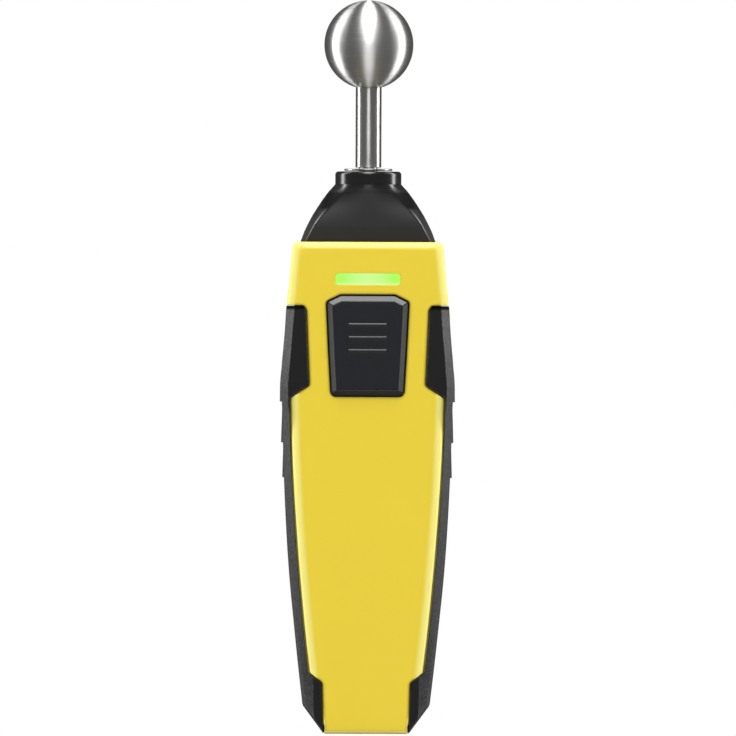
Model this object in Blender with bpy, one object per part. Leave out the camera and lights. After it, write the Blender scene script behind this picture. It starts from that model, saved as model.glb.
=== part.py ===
"""Hand-held building moisture meter with a ball electrode.

Frame: +Z runs up the long axis from the flat bottom end to the ball, -Y is the front (key and
light bar), +X is the right side seen from the front.  The origin is on the bottom end, on the
axis of the electrode rod.  Sizes are in millimetres; mm() turns them into metres.
"""

import math

import bmesh
import bpy
from mathutils import Matrix, Vector

# ------------------------------------------------------------------ driving dimensions
FRONT_Y = -12.5           # front plane of the front cover
BACK_Y = 12.5             # flat back, on which the meter rests
PARTING_Y = 1.0           # rear edge of the front cover
HOUSING_TOP = 125.3       # mouth of the housing
WALL = 1.8
FRONT_INSIDE_Y = FRONT_Y + WALL
GAP = 0.3                 # between neighbouring pieces
OVER = 1.0                # how far most cutters run past a face

RIM_Y = -12.1             # front rim of the grips
BACK_RIM_Y = 11.7
GRIP_BOTTOM, GRIP_TOP = 0.8, 108.8
GRIP_WALL = 1.7           # how far the grip stands out from the covers' side walls

BALL_R = 11.35
BALL_Z = 175.6            # ball centre
ROD_R = 3.3
ROD_THREAD_R = 2.4        # turned-down ends of the rod
ROD_HOLE_R = ROD_THREAD_R + GAP

BOARD_FRONT_Y, BOARD_BACK_Y = -5.2, -3.6
BOARD_HALF, BOARD_Z0, BOARD_Z1 = 10.9, 40.0, 118.2
PART_Y = BOARD_FRONT_Y - 0.2    # rear face of the parts carried by the board

CELL_R, CELL_LEN, CELL_Z0 = 5.25, 44.5, 17.6
CELL_TOP = CELL_Z0 + CELL_LEN
CELL_X, CELL_Y = 5.5, 4.5
DOOR_HALF, DOOR_Z0, DOOR_TOP, DOOR_Y = 11.8, 13.4, 68.0, 10.6
HINGE_Z = 13.25           # the door turns about a line by its lower outer edge

SWITCH_Z = 99.5           # axis of the push switch under the key
KEY_FACE_Y = -13.7
WINDOW_Z = 115.85
WINDOW_HALF_X, WINDOW_HALF_Z = 8.25, 1.55

# Fastening and lead places as (x, z).
SCREWS_AT = [(-13.4, 104.5), (13.4, 104.5), (-13.6, 74.0), (13.6, 74.0), (0.0, 7.2)]
BOARD_POSTS = [(-8.5, 45.0), (8.5, 45.0), (-8.6, 81.5), (8.6, 81.5)]
LEAD_HOLES = [(9.0, 112.5), (-8.6, 70.0), (8.6, 70.0)]
SIDES = ((1, "right"), (-1, "left"))

# Half-widths of the outline seen from the front, as (z, half-width).
GRIP_OUT = [
    (-1, 15.2), (7.3, 16.2), (19, 17.55), (29, 18.6), (39, 19.6), (49, 20.35), (60, 20.95),
    (66, 21.2), (75, 21.5), (85, 21.8), (90, 22.0), (94, 21.85), (98, 21.5), (103, 21.1),
    (109, 20.75), (126, 19.4)]
COVER_OUT = [
    (-1, 13.5), (15, 14.45), (24, 15.4), (34, 16.4), (44, 17.3), (54, 18.05), (65, 18.75),
    (75, 19.2), (85, 19.5), (97, 20.2), (109, 20.55), (113.6, 20.15), (118, 19.75),
    (122, 19.4), (126, 18.95)]
# The cut lower corners: x = X0 + slope * z.
CHAMFER_X0, CHAMFER_SLOPE = 10.8, 0.74
WALL_CHAMFER_X0 = 9.3
WALL_HALF_MIN = 10.6


def mm(v):
    return v * 0.001


# ------------------------------------------------------------------ curves
def spline(table, z):
    """Smooth value through a table of (z, value), by a monotone cubic."""
    n = len(table)
    if z <= table[0][0]:
        return table[0][1]
    if z >= table[-1][0]:
        return table[-1][1]
    slopes = [(v1 - v0) / (z1 - z0) for (z0, v0), (z1, v1) in zip(table, table[1:])]
    i = max(k for k in range(n - 1) if table[k][0] <= z)

    def tangent(k):
        if k == 0:
            return slopes[0]
        if k == n - 1:
            return slopes[-1]
        below, above = slopes[k - 1], slopes[k]
        return 0.0 if below * above <= 0 else 2 * below * above / (below + above)

    span = table[i + 1][0] - table[i][0]
    t = (z - table[i][0]) / span
    return ((2 * t**3 - 3 * t**2 + 1) * table[i][1]
            + (t**3 - 2 * t**2 + t) * span * tangent(i)
            + (-2 * t**3 + 3 * t**2) * table[i + 1][1]
            + (t**3 - t**2) * span * tangent(i + 1))


def lerp(table, z):
    """Straight-line value through a table of (z, value)."""
    if z <= table[0][0]:
        return table[0][1]
    for (z0, v0), (z1, v1) in zip(table, table[1:]):
        if z <= z1:
            return v0 + (v1 - v0) * (z - z0) / (z1 - z0)
    return table[-1][1]


def smooth_path(points, steps=5):
    """Catmull-Rom points through a few control points."""
    p = [Vector(q) for q in (points[0], *points, points[-1])]
    out = []
    for i in range(1, len(p) - 2):
        for k in range(steps):
            t = k / steps
            out.append(0.5 * ((2 * p[i]) + (p[i + 1] - p[i - 1]) * t
                              + (2 * p[i - 1] - 5 * p[i] + 4 * p[i + 1] - p[i + 2]) * t * t
                              + (3 * p[i] - p[i - 1] - 3 * p[i + 1] + p[i + 2]) * t**3))
    out.append(p[-2])
    return out


# ------------------------------------------------------------------ outlines of (x, z)
def mirrored(right):
    """Closed outline from its right half, listed upwards."""
    return right + [(-x, z) for x, z in reversed(right)]


def at_y(outline, y):
    return [(x, y, z) for x, z in outline]


def rounded_rect(half_x, half_z, radius, steps, centre):
    cx, cz = centre
    points = []
    for sx, sz, start in ((1, 1, 0), (-1, 1, 90), (-1, -1, 180), (1, -1, 270)):
        for k in range(steps + 1):
            a = math.radians(start + 90 * k / steps)
            points.append((cx + sx * (half_x - radius) + radius * math.cos(a),
                           cz + sz * (half_z - radius) + radius * math.sin(a)))
    return points


def grown(outline, distance):
    """Outline moved out along its own edge normals (convex, counter-clockwise)."""
    n, out = len(outline), []
    for i in range(n):
        before, here, after = (Vector(outline[(i + k) % n]) for k in (-1, 0, 1))
        edge_in, edge_out = (here - before).normalized(), (after - here).normalized()
        mitre = Vector((edge_in.y, -edge_in.x)) + Vector((edge_out.y, -edge_out.x))
        mitre = mitre / (mitre.length_squared * 0.5)
        out.append((here.x + mitre.x * distance, here.y + mitre.y * distance))
    return out


# ------------------------------------------------------------------ solids
def loft(rings):
    """Solid through rings of equal point count; each ring is a list of (x, y, z)."""
    bm = bmesh.new()
    layers = [[bm.verts.new((mm(x), mm(y), mm(z))) for x, y, z in ring] for ring in rings]
    n = len(layers[0])
    for a, b in zip(layers, layers[1:]):
        for i in range(n):
            j = (i + 1) % n
            bm.faces.new((a[i], a[j], b[j], b[i]))
    bm.faces.new(list(reversed(layers[0])))
    bm.faces.new(layers[-1])
    return bm


def prism_y(outline, y0, y1):
    return loft([at_y(outline, y0), at_y(outline, y1)])


def rounded_slab(half_x, half_z, radius, steps, centre, y0, y1):
    return prism_y(rounded_rect(half_x, half_z, radius, steps, centre), y0, y1)


def box(x_range, y_range, z_range):
    (x0, x1), (y0, y1), (z0, z1) = x_range, y_range, z_range
    bm = bmesh.new()
    bmesh.ops.create_cube(bm, size=1.0)
    middle = (mm((x0 + x1) / 2), mm((y0 + y1) / 2), mm((z0 + z1) / 2))
    size = (mm(x1 - x0), mm(y1 - y0), mm(z1 - z0), 1.0)
    bm.transform(Matrix.Translation(middle) @ Matrix.Diagonal(size))
    return bm


def block(x, z, half_x, half_z, y0, y1):
    """Box centred on (x, z)."""
    return box((x - half_x, x + half_x), (y0, y1), (z - half_z, z + half_z))


def join(parts):
    """One bmesh holding several."""
    out = bmesh.new()
    for part in parts:
        mesh = bpy.data.meshes.new("tmp")
        part.to_mesh(mesh)
        part.free()
        out.from_mesh(mesh)
        bpy.data.meshes.remove(mesh)
    return out


def box_pair(x_range, y_range, z_range):
    """A box and its mirror image across x = 0; x_range is the right one's."""
    near, far = x_range
    return join([box((-far, -near), y_range, z_range), box(x_range, y_range, z_range)])


def turned(profile, segments=32, axis="Z", centre=(0, 0, 0)):
    """Solid of revolution from a closed profile of (radius, height), none of it past the axis."""
    bm = bmesh.new()
    rings = []
    for k in range(segments):
        a = 2 * math.pi * k / segments
        ring = []
        for radius, height in profile:
            u, v = radius * math.cos(a), radius * math.sin(a)
            point = {"Z": (u, v, height), "Y": (v, height, u), "X": (height, u, v)}[axis]
            ring.append(bm.verts.new([mm(p + c) for p, c in zip(point, centre)]))
        rings.append(ring)
    n = len(profile)
    for k in range(segments):
        a, b = rings[k], rings[(k + 1) % segments]
        for i in range(n):
            j = (i + 1) % n
            # a point on the axis is shared by both rings, so it is used once
            corners = [a[i], a[j]] + [b[m] for m in (j, i) if profile[m][0] > 0]
            if len(corners) > 2:
                bm.faces.new(corners)
    bmesh.ops.remove_doubles(bm, verts=bm.verts, dist=1e-7)
    return bm


def cylinder(radius, low, high, segments=24, axis="Z", centre=(0, 0, 0)):
    profile = [(0, low), (radius, low), (radius, high), (0, high)]
    return turned(profile, segments, axis, centre)


def pegs(places, radius, y0, y1, segments):
    """Cylinders along Y at each (x, z)."""
    return join([cylinder(radius, y0, y1, segments, "Y", (x, 0, z)) for x, z in places])


def tube(points, radius, sides):
    """Round wire through a list of points."""
    pts = [Vector(p) for p in points]
    normal = (pts[1] - pts[0]).normalized().orthogonal().normalized()
    rings = []
    for i, p in enumerate(pts):
        along = (pts[min(i + 1, len(pts) - 1)] - pts[max(i - 1, 0)]).normalized()
        normal = (normal - along * normal.dot(along)).normalized()
        across = along.cross(normal)
        rings.append([p + (normal * math.cos(2 * math.pi * k / sides)
                           + across * math.sin(2 * math.pi * k / sides)) * radius
                      for k in range(sides)])
    return loft(rings)


# ------------------------------------------------------------------ objects
def clear_scene():
    for obj in list(bpy.data.objects):
        bpy.data.objects.remove(obj, do_unlink=True)
    for mesh in list(bpy.data.meshes):
        bpy.data.meshes.remove(mesh)
    for mat in list(bpy.data.materials):
        bpy.data.materials.remove(mat)


def new_object(name, bm):
    bmesh.ops.remove_doubles(bm, verts=bm.verts, dist=1e-7)
    bmesh.ops.recalc_face_normals(bm, faces=bm.faces)
    mesh = bpy.data.meshes.new(name)
    bm.to_mesh(mesh)
    bm.free()
    obj = bpy.data.objects.new(name, mesh)
    bpy.context.scene.collection.objects.link(obj)
    return obj


def piece(name, bm, mat, smooth=30):
    """A piece of the product; edges sharper than smooth (degrees) stay sharp."""
    obj = new_object(name, bm)
    obj.data.materials.append(mat)
    obj.data.shade_smooth()
    obj.data.set_sharp_from_angle(angle=math.radians(smooth))
    return obj


def boolean(obj, name, bm, operation):
    """Shape obj by a hidden helper, which is not a piece itself."""
    helper = new_object(name, bm)
    helper.hide_render = True
    helper.display_type = "WIRE"
    mod = obj.modifiers.new(operation.lower(), "BOOLEAN")
    mod.operation = operation
    mod.solver = "EXACT"
    mod.object = helper


def cut(obj, name, bm):
    boolean(obj, name, bm, "DIFFERENCE")


def add(obj, name, bm):
    boolean(obj, name, bm, "UNION")


def hang(obj, joint, at):
    """Parent a moving piece to an empty on its axis, leaving the piece where it is."""
    empty = bpy.data.objects.new(joint, None)
    empty.location = [mm(v) for v in at]
    bpy.context.scene.collection.objects.link(empty)
    bpy.context.view_layer.update()
    obj.parent = empty
    obj.matrix_parent_inverse = empty.matrix_world.inverted()


# ------------------------------------------------------------------ materials
def material(name, colour, roughness, metallic=0.0, emission=None):
    mat = bpy.data.materials.new(name)
    mat.use_nodes = True
    bsdf = mat.node_tree.nodes["Principled BSDF"]
    bsdf.inputs["Base Color"].default_value = (*colour, 1.0)
    bsdf.inputs["Roughness"].default_value = roughness
    bsdf.inputs["Metallic"].default_value = metallic
    if emission:
        bsdf.inputs["Emission Color"].default_value = (*emission, 1.0)
        bsdf.inputs["Emission Strength"].default_value = 1.0
    return mat


clear_scene()

YELLOW = material("yellow_plastic", colour=(0.84, 0.63, 0.045), roughness=0.35)
BLACK = material("black_plastic", colour=(0.035, 0.035, 0.037), roughness=0.45)
RUBBER = material("grip_rubber", colour=(0.05, 0.05, 0.052), roughness=0.75)
KEY = material("key_plastic", colour=(0.03, 0.032, 0.04), roughness=0.4)
STEEL = material("brushed_steel", colour=(0.62, 0.61, 0.59), roughness=0.28, metallic=1.0)
NICKEL = material("nickel_plate", colour=(0.68, 0.66, 0.60), roughness=0.3, metallic=1.0)
TIN = material("tinned_steel", colour=(0.70, 0.70, 0.69), roughness=0.35, metallic=1.0)
NYLON = material("white_nylon", colour=(0.80, 0.80, 0.76), roughness=0.5)
SEAL = material("seal_rubber", colour=(0.02, 0.02, 0.02), roughness=0.7)
BOARD = material("board_green", colour=(0.02, 0.16, 0.06), roughness=0.45)
CHIP = material("chip_black", colour=(0.03, 0.03, 0.03), roughness=0.5)
LENS = material("light_window", colour=(0.55, 0.95, 0.25), roughness=0.3,
                emission=(0.45, 1.0, 0.15))
LED = material("led_body", colour=(0.9, 0.9, 0.82), roughness=0.4)
CERAMIC = material("part_ceramic", colour=(0.55, 0.42, 0.26), roughness=0.5)
CELL = material("cell_wrap", colour=(0.10, 0.10, 0.11), roughness=0.35)
RED_WIRE = material("red_wire", colour=(0.55, 0.02, 0.02), roughness=0.45)
BLACK_WIRE = material("black_wire", colour=(0.02, 0.02, 0.02), roughness=0.45)
SCREW = material("screw_steel", colour=(0.12, 0.12, 0.125), roughness=0.4, metallic=1.0)


# ------------------------------------------------------------------ outlines of the covers
# Heights of the outline's points: beside the grips, then above them.
COVER_STATIONS = [0.0, 1.757, 4.0, 6.08, 9.0, 12.9, 15.6, *range(20, 81, 6), 85.6, 88.8,
                  94, 99, 104, 108.95]
UPPER_STATIONS = [109.1, 113, 117, 121]
TOP_CORNER = 1.5


def chamfer(z):
    return CHAMFER_X0 + CHAMFER_SLOPE * z


def wall_out(z):
    """Outer half-width of the covers' side walls where a grip lies over them."""
    under_grip = spline(GRIP_OUT, z) - GRIP_WALL - GAP
    return max(WALL_HALF_MIN, min(under_grip, WALL_CHAMFER_X0 + CHAMFER_SLOPE * z))


def rim_out(z):
    """Half-width of the covers' faces between the grips."""
    return min(spline(COVER_OUT, z), wall_out(z) - 0.3)


def cover_outline(half_width, inset=0.0, top_inset=0.0, bottom_inset=0.0):
    """Front-view outline from the right bottom corner; half_width is wall_out or rim_out."""
    z_top = HOUSING_TOP - top_inset
    right = [(half_width(z) - inset, z if z else bottom_inset) for z in COVER_STATIONS]
    right += [(spline(COVER_OUT, z) - inset, z) for z in UPPER_STATIONS]
    x_top = spline(COVER_OUT, z_top - TOP_CORNER) - inset
    for k in range(5):
        a = math.radians(90 * k / 4)
        right.append((x_top - TOP_CORNER + TOP_CORNER * math.cos(a),
                      z_top - TOP_CORNER + TOP_CORNER * math.sin(a)))
    return mirrored(right)


def rounded_edge(steps, face_y, depth, side, top, bottom, inset=0.0):
    """Rings that round a cover's rim into its face; depth runs from the face inwards along Y."""
    rings = []
    for k in range(steps + 1):
        a = math.radians(90 * k / steps)
        s = 1 - math.cos(a)
        outline = cover_outline(rim_out, inset + side * s, top * s, bottom * s)
        rings.append(at_y(outline, face_y + depth * (1 - math.sin(a))))
    return rings


# ------------------------------------------------------------------ insides of the covers
# Each is a list of (z, half-width).
INSIDE_STATIONS = (7.0, 10.0, 15.6, 26, 38, 50, 62, 74, 85.6, 94, 108.4)
TOP_INSIDE = [(z, spline(COVER_OUT, z) - WALL) for z in (109.9, 114.0, 117.0, 121.0)]
WALL_INSIDE = ([(1.9, 8.8), (4.0, 10.1)] + [(z, wall_out(z) - WALL) for z in INSIDE_STATIONS]
               + TOP_INSIDE)
FRONT_INSIDE = ([(1.9, 8.8), (15.8, 9.4)]
                + [(z, rim_out(z) - 1.7) for z in (18.4, 26, 38, 50, 62, 74, 82.0)]
                + [(84.2, 13.2), (109.0, 13.6)] + TOP_INSIDE)
REAR_INSET = 0.4          # of the rear cover's rim from the front cover's
REAR_INSIDE = ([(1.9, 8.2), (4.0, 9.4)]
               + [(z, rim_out(z) - REAR_INSET - WALL) for z in INSIDE_STATIONS]
               + [(z, half - REAR_INSET) for z, half in TOP_INSIDE])


def cavity(widths, y0, y1):
    return prism_y(mirrored([(half, z) for z, half in widths]), y0, y1)


# ------------------------------------------------------------------ section of the nose
NOSE_ROUND_Z = 140.0      # height at which the section would be a full circle
# Columns: fraction of the way from HOUSING_TOP to NOSE_ROUND_Z, size.
NOSE_SIDE = [(0, 17.25), (0.14, 16.2), (0.28, 15.1), (0.42, 13.9), (0.56, 12.7),
             (0.70, 11.3), (0.84, 9.85), (0.95, 8.75), (1.0, 8.3)]       # half-width
NOSE_EDGE_X = [(0, 15.55), (0.25, 13.6), (0.5, 11.45), (0.75, 9.0), (0.9, 7.1), (1.0, 5.9)]
NOSE_DEPTH = [(0, 9.6), (0.2, 9.5), (0.5, 9.2), (0.8, 8.75), (1.0, 8.3)]   # half-depth
NOSE_EDGE_Y = [(0, 8.8), (0.3, 8.5), (0.6, 7.8), (0.85, 6.7), (1.0, 5.9)]


def nose_section(z, scale=1.0):
    """Ring at height z: six-sided with bowed faces at the base, turning into a circle."""
    t = (z - HOUSING_TOP) / (NOSE_ROUND_Z - HOUSING_TOP)
    side, edge_x = lerp(NOSE_SIDE, t), lerp(NOSE_EDGE_X, t)
    depth, edge_y = lerp(NOSE_DEPTH, t), lerp(NOSE_EDGE_Y, t)
    half = []
    for k in range(7):          # across the bowed front
        u = -1 + 2 * k / 6
        half.append((u * edge_x, -(edge_y + (depth - edge_y) * (1 - u * u))))
    for k in range(1, 4):       # back along the right side
        v = k / 4
        y = -edge_y + 2 * edge_y * v
        flat = edge_x + (side - edge_x) * (1 - abs(2 * v - 1))
        round_x = math.sqrt(side * side - (y * side / depth) ** 2)
        half.append((flat * (1 - t) + max(flat, round_x) * t, y))
    ring = half + [(-x, -y) for x, y in half]
    return [(x * scale, y * scale, z) for x, y in ring]


def nose_base(z, grow=0.0, scale=1.0):
    """The nose's base section, placed at height z."""
    grow_x = 1 + grow / NOSE_SIDE[0][1]
    grow_y = 1 + grow / NOSE_DEPTH[0][1]
    return [(x * scale * grow_x, y * scale * grow_y, z)
            for x, y, _ in nose_section(HOUSING_TOP)]


def nose_mouth():
    """Cutter for the mouth of the housing, with a gap all round the nose."""
    return loft([nose_base(z, grow=GAP) for z in (120.0, 127.0)])


# ------------------------------------------------------------------ front cover
# Right-hand recesses of the face, in which the grips' cheeks and lower pads lie, as (x, z).
FACE_RECESSES = {
    "cheek": [(14.6, 88.65), (15.43, 107.95), (16.3, 109.15), (30.0, 109.15), (30.0, 84.1),
              (21.5, 84.1)],
    "pad": [(10.65, -1.0), (11.05, 13.05), (15.6, 16.55), (30.0, 16.55), (30.0, -1.0)]}
RECESS_FLOOR_Y = -10.4
KEY_OUT = [(-9.15, 86.9), (-8.5, 86.15), (8.5, 86.15), (9.15, 86.9), (9.75, 97.5),
           (10.35, 109.9), (6.9, 111.6), (-6.9, 111.6), (-10.35, 109.9), (-9.75, 97.5)]
KEY_GAP = 0.35
WINDOW_GAP = 0.25
BOSS_ROOT_Y = FRONT_INSIDE_Y - 0.4      # bosses and posts start inside the face's wall


def build_front_cover():
    rings = [at_y(cover_outline(wall_out), PARTING_Y), at_y(cover_outline(wall_out), -9.1),
             at_y(cover_outline(rim_out), -9.4)]
    rings += rounded_edge(4, FRONT_Y, depth=1.7, side=3.0, top=2.2, bottom=0.9)
    cover = piece("front_cover", loft(rings), YELLOW)
    cut(cover, "front_cavity", cavity(FRONT_INSIDE, FRONT_INSIDE_Y, -7.9))
    cut(cover, "front_cavity_deep", cavity(WALL_INSIDE, -8.4, PARTING_Y + OVER))
    cut(cover, "front_mouth", nose_mouth())
    for name, shape in FACE_RECESSES.items():
        for side, tag in SIDES:
            outline = [(side * x, z) for x, z in shape]
            cut(cover, f"{name}_recess_{tag}", prism_y(outline, FRONT_Y - 1.5, RECESS_FLOOR_Y))
    through = (FRONT_Y - OVER, FRONT_INSIDE_Y + OVER)
    cut(cover, "key_opening", prism_y(grown(KEY_OUT, KEY_GAP), *through))
    cut(cover, "window_opening",
        rounded_slab(WINDOW_HALF_X + WINDOW_GAP, WINDOW_HALF_Z + WINDOW_GAP, 0.9, 3,
                     (0.0, WINDOW_Z), *through))
    add(cover, "front_bosses",
        pegs(SCREWS_AT, radius=2.1, y0=BOSS_ROOT_Y, y1=PARTING_Y - 0.2, segments=16))
    cut(cover, "pilot_holes",
        pegs(SCREWS_AT, radius=1.0, y0=-8.0, y1=PARTING_Y + OVER, segments=10))
    add(cover, "board_posts",
        pegs(BOARD_POSTS, radius=2.0, y0=BOSS_ROOT_Y, y1=BOARD_FRONT_Y - GAP, segments=14))
    cut(cover, "board_pilots",
        pegs(BOARD_POSTS, radius=0.7, y0=-9.0, y1=BOARD_FRONT_Y + OVER, segments=8))


# ------------------------------------------------------------------ rear cover
# Battery bay, as extents in x, y and z.  The paired ones give the right-hand x.
BAY_BLOCK = ((-12.2, 12.2), (-2.3, 11.2), (12.0, 69.5))
BAY_LEDGE = ((-12.9, 12.9), (8.7, 11.3), (11.8, 70.0))
BAY_HOLLOW = ((-11.0, 11.0), (-1.0, BACK_Y + OVER), (13.6, 66.2))
DOOR_RECESS = ((-12.1, 12.1), (DOOR_Y - GAP, BACK_Y + OVER), (DOOR_Z0 - GAP, DOOR_TOP + GAP))
HOOK_POCKETS = ((3.7, 7.3), (8.6, 11.5), (10.9, 14.0))
TAB_SLOTS = ((3.8, 7.2), (0.6, 3.2), (65.0, 71.0))
# Turned about a line along X, outside the back: (radius, x).
SCOOP_PROFILE = [(0, -5.0), (5.4, -5.0), (6.0, -4.4), (6.0, 4.4), (5.4, 5.0), (0, 5.0)]
SCOOP_CENTRE = (0, BACK_Y + 4.7, 70.2)


def build_rear_cover():
    rings = [at_y(cover_outline(wall_out), PARTING_Y + GAP), at_y(cover_outline(wall_out), 7.9),
             at_y(cover_outline(rim_out, REAR_INSET), 8.25)]
    rings += rounded_edge(3, BACK_Y, depth=-2.0, side=2.0, top=2.0, bottom=0.8,
                          inset=REAR_INSET)
    cover = piece("rear_cover", loft(rings), BLACK)
    cut(cover, "rear_cavity", cavity(WALL_INSIDE, PARTING_Y - OVER, 7.4))
    cut(cover, "rear_cavity_far", cavity(REAR_INSIDE, 7.0, BACK_Y - WALL))
    cut(cover, "rear_mouth", nose_mouth())
    add(cover, "bay_block", box(*BAY_BLOCK))
    add(cover, "bay_ledge", box(*BAY_LEDGE))
    cut(cover, "bay_hollow", box(*BAY_HOLLOW))
    cut(cover, "door_recess", box(*DOOR_RECESS))
    cut(cover, "hook_pockets", box_pair(*HOOK_POCKETS))
    cut(cover, "finger_scoop", turned(SCOOP_PROFILE, 40, "X", SCOOP_CENTRE))
    add(cover, "rear_bosses",
        pegs(SCREWS_AT, radius=3.4, y0=PARTING_Y + GAP + 0.25, y1=BACK_Y - 0.6, segments=20))
    cut(cover, "screw_wells",
        pegs(SCREWS_AT, radius=2.8, y0=6.2, y1=BACK_Y + OVER, segments=20))
    cut(cover, "screw_holes",
        pegs(SCREWS_AT, radius=1.6, y0=PARTING_Y - OVER, y1=7.0, segments=12))
    cut(cover, "tab_slots", box_pair(*TAB_SLOTS))


# ------------------------------------------------------------------ grips
GRIP_STATIONS = [GRIP_BOTTOM, 1.757, 4.0, 6.08, 7.3, 9.0, 12.9, 14.2, 14.4, 15.6,
                 *range(20, 81, 6), 85.6, 87.1, 87.3, 88.8, 94, 99, 104, 107.9, GRIP_TOP]
# (z, half-width) where the front face turns into the slanted side.
GRIP_BEVEL = [(0, 13.3), (13, 13.4), (20, 14.1), (30, 15.4), (44, 16.8), (60, 18.1), (75, 19.1),
              (84, 20.25), (88, 20.45), (109, 18.75)]
# (z, y) where the slanted side meets the flat side.
GRIP_SHOULDER = [(0, -10.2), (15.6, -10.2), (30, -9.0), (60, -8.4), (85, -7.4), (109, -7.0)]
# (z, half-width) of the front inner edge along the lower pads and the upper cheeks.
PAD_EDGE = [(GRIP_BOTTOM, 10.95), (12.9, 11.35)]
CHEEK_EDGE = [(88.8, 14.9), (107.9, 15.72), (GRIP_TOP, 16.5)]
# Between them the edge follows the cover's face.
RIM_START, RIM_END = 15.6, 85.6
RIM_GAP = 0.35
MIN_FLAT = 0.12           # least width of the grip's front face
# Side ridges: low end, high end, height at the low end.
RIDGES = ((84.5, 93.5, 0.55), (74.1, 82.5, 0.5), (65.2, 72.5, 0.45))
RIDGE_Y = (-6.4, 6.0)


def grip_out(z):
    return min(spline(GRIP_OUT, z), chamfer(z))


def grip_front(z):
    """Half-width of the grip's front inner edge."""
    pad_top, cheek_bottom = PAD_EDGE[-1], CHEEK_EDGE[0]
    rim = rim_out(z) + RIM_GAP
    if z <= pad_top[0]:
        return lerp(PAD_EDGE, z)
    if z <= RIM_START:
        return lerp([pad_top, (RIM_START, rim_out(RIM_START) + RIM_GAP)], z)
    if z < RIM_END:
        return rim
    if z < cheek_bottom[0]:
        return rim + (cheek_bottom[1] - rim) * (z - RIM_END) / (cheek_bottom[0] - RIM_END)
    return lerp(CHEEK_EDGE, z)


def grip_ring(z, side):
    """Section of one grip at height z."""
    outer = grip_out(z)
    inner = wall_out(z) + GAP
    front_inner = min(grip_front(z), inner - 0.05)
    bevel = min(lerp(GRIP_BEVEL, z), chamfer(z) - 0.35, outer - 0.3)
    shoulder_y = lerp(GRIP_SHOULDER, z)
    front_y = RIM_Y
    if bevel < front_inner + MIN_FLAT:
        # no room for a flat front: the slanted side starts further back
        share = (front_inner + MIN_FLAT - bevel) / (outer - bevel)
        front_y = min(-10.8, RIM_Y + share * (shoulder_y - RIM_Y))
        bevel = front_inner + MIN_FLAT
    lip_y = -10.7 if z >= 85.5 or z <= 15.7 else -9.8
    back_lip_y = 8.6
    back_inner = rim_out(z) - 0.05
    back_bevel = min(max(bevel, back_inner + 0.9), outer - 0.3)
    points = [(front_inner, front_y), (front_inner, lip_y), (inner, lip_y), (inner, back_lip_y),
              (back_inner, back_lip_y), (back_inner, BACK_RIM_Y), (back_bevel, BACK_RIM_Y),
              (outer, 6.6), (outer, shoulder_y), (bevel, front_y)]
    return [(side * x, y, z) for x, y in points]


def build_grip(side, tag):
    name = f"{tag}_grip"
    grip = piece(name, loft([grip_ring(z, side) for z in GRIP_STATIONS]), RUBBER)
    for k, (low, high, tall) in enumerate(RIDGES):
        x_low, x_high = grip_out(low), grip_out(high)
        points = [(x_low - 0.6, low), (x_low + tall, low + 0.45), (x_low + tall * 0.9, low + 1.6),
                  (x_high - 0.12, high), (x_high - 0.6, high)]
        ridge = prism_y([(side * x, z) for x, z in points], *RIDGE_Y)
        add(grip, f"{name}_ridge_{k}", ridge)


# ------------------------------------------------------------------ battery door
DOOR_HOOKS = ((4.0, 7.0), (10.35, 11.2), (12.05, 15.0))     # right-hand x, y, z
DOOR_UNDERSIDE = ((-10.4, 10.4), (DOOR_Y - OVER, DOOR_Y + 0.7), (16.5, 64.0))
# Thumb grooves, each lower and shorter than the one above.
GROOVES, GROOVE_DEPTH, GROOVE_PITCH, GROOVE_TAPER = 5, 0.45, 2.0, 0.5
GROOVE_HALF, GROOVE_Z0, GROOVE_Z1 = 5.2, 63.6, 64.6


def build_battery_door():
    """Door hooked in at its lower edge."""
    door = piece("battery_door",
                 box((-DOOR_HALF, DOOR_HALF), (DOOR_Y, BACK_Y), (DOOR_Z0, DOOR_TOP)), BLACK)
    add(door, "door_hooks", box_pair(*DOOR_HOOKS))
    cut(door, "door_underside", box(*DOOR_UNDERSIDE))
    grooves = []
    for k in range(GROOVES):
        half, drop = GROOVE_HALF - GROOVE_TAPER * k, GROOVE_PITCH * k
        grooves.append(box((-half, half), (BACK_Y - GROOVE_DEPTH, BACK_Y + OVER),
                           (GROOVE_Z0 - drop, GROOVE_Z1 - drop)))
    cut(door, "door_thumb_grooves", join(grooves))
    return door


# ------------------------------------------------------------------ nose
COLLAR_R, COLLAR_TOP = 8.45, 143.3
COLLAR_PROFILE = [(0, 136.5), (7.4, 136.5), (7.4, 139.0), (COLLAR_R, 139.7), (COLLAR_R, 142.6),
                  (COLLAR_R - 0.3, 143.1), (COLLAR_R - 0.75, COLLAR_TOP), (0, COLLAR_TOP)]
SEAL_GROOVE = [(4.55, 142.6), (5.95, 142.6), (5.95, 144.0), (4.55, 144.0)]
BORE_R = 4.2              # hole through the collar for the insulating bush
SPIGOT_SCALE = 0.985      # the part of the nose inside the housing
NOSE_STATIONS = (127.2, 129.2, 131.2, 133.2, 135.2, 137.0, 138.6, 139.6)
# Scale of the hollow to the outside: in the spigot, then as (z, scale) above it.
SPIGOT_HOLLOW = 0.86
NOSE_HOLLOW = ((128.0, 0.84), (131.0, 0.82), (134.0, 0.78), (136.4, 0.74))


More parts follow.
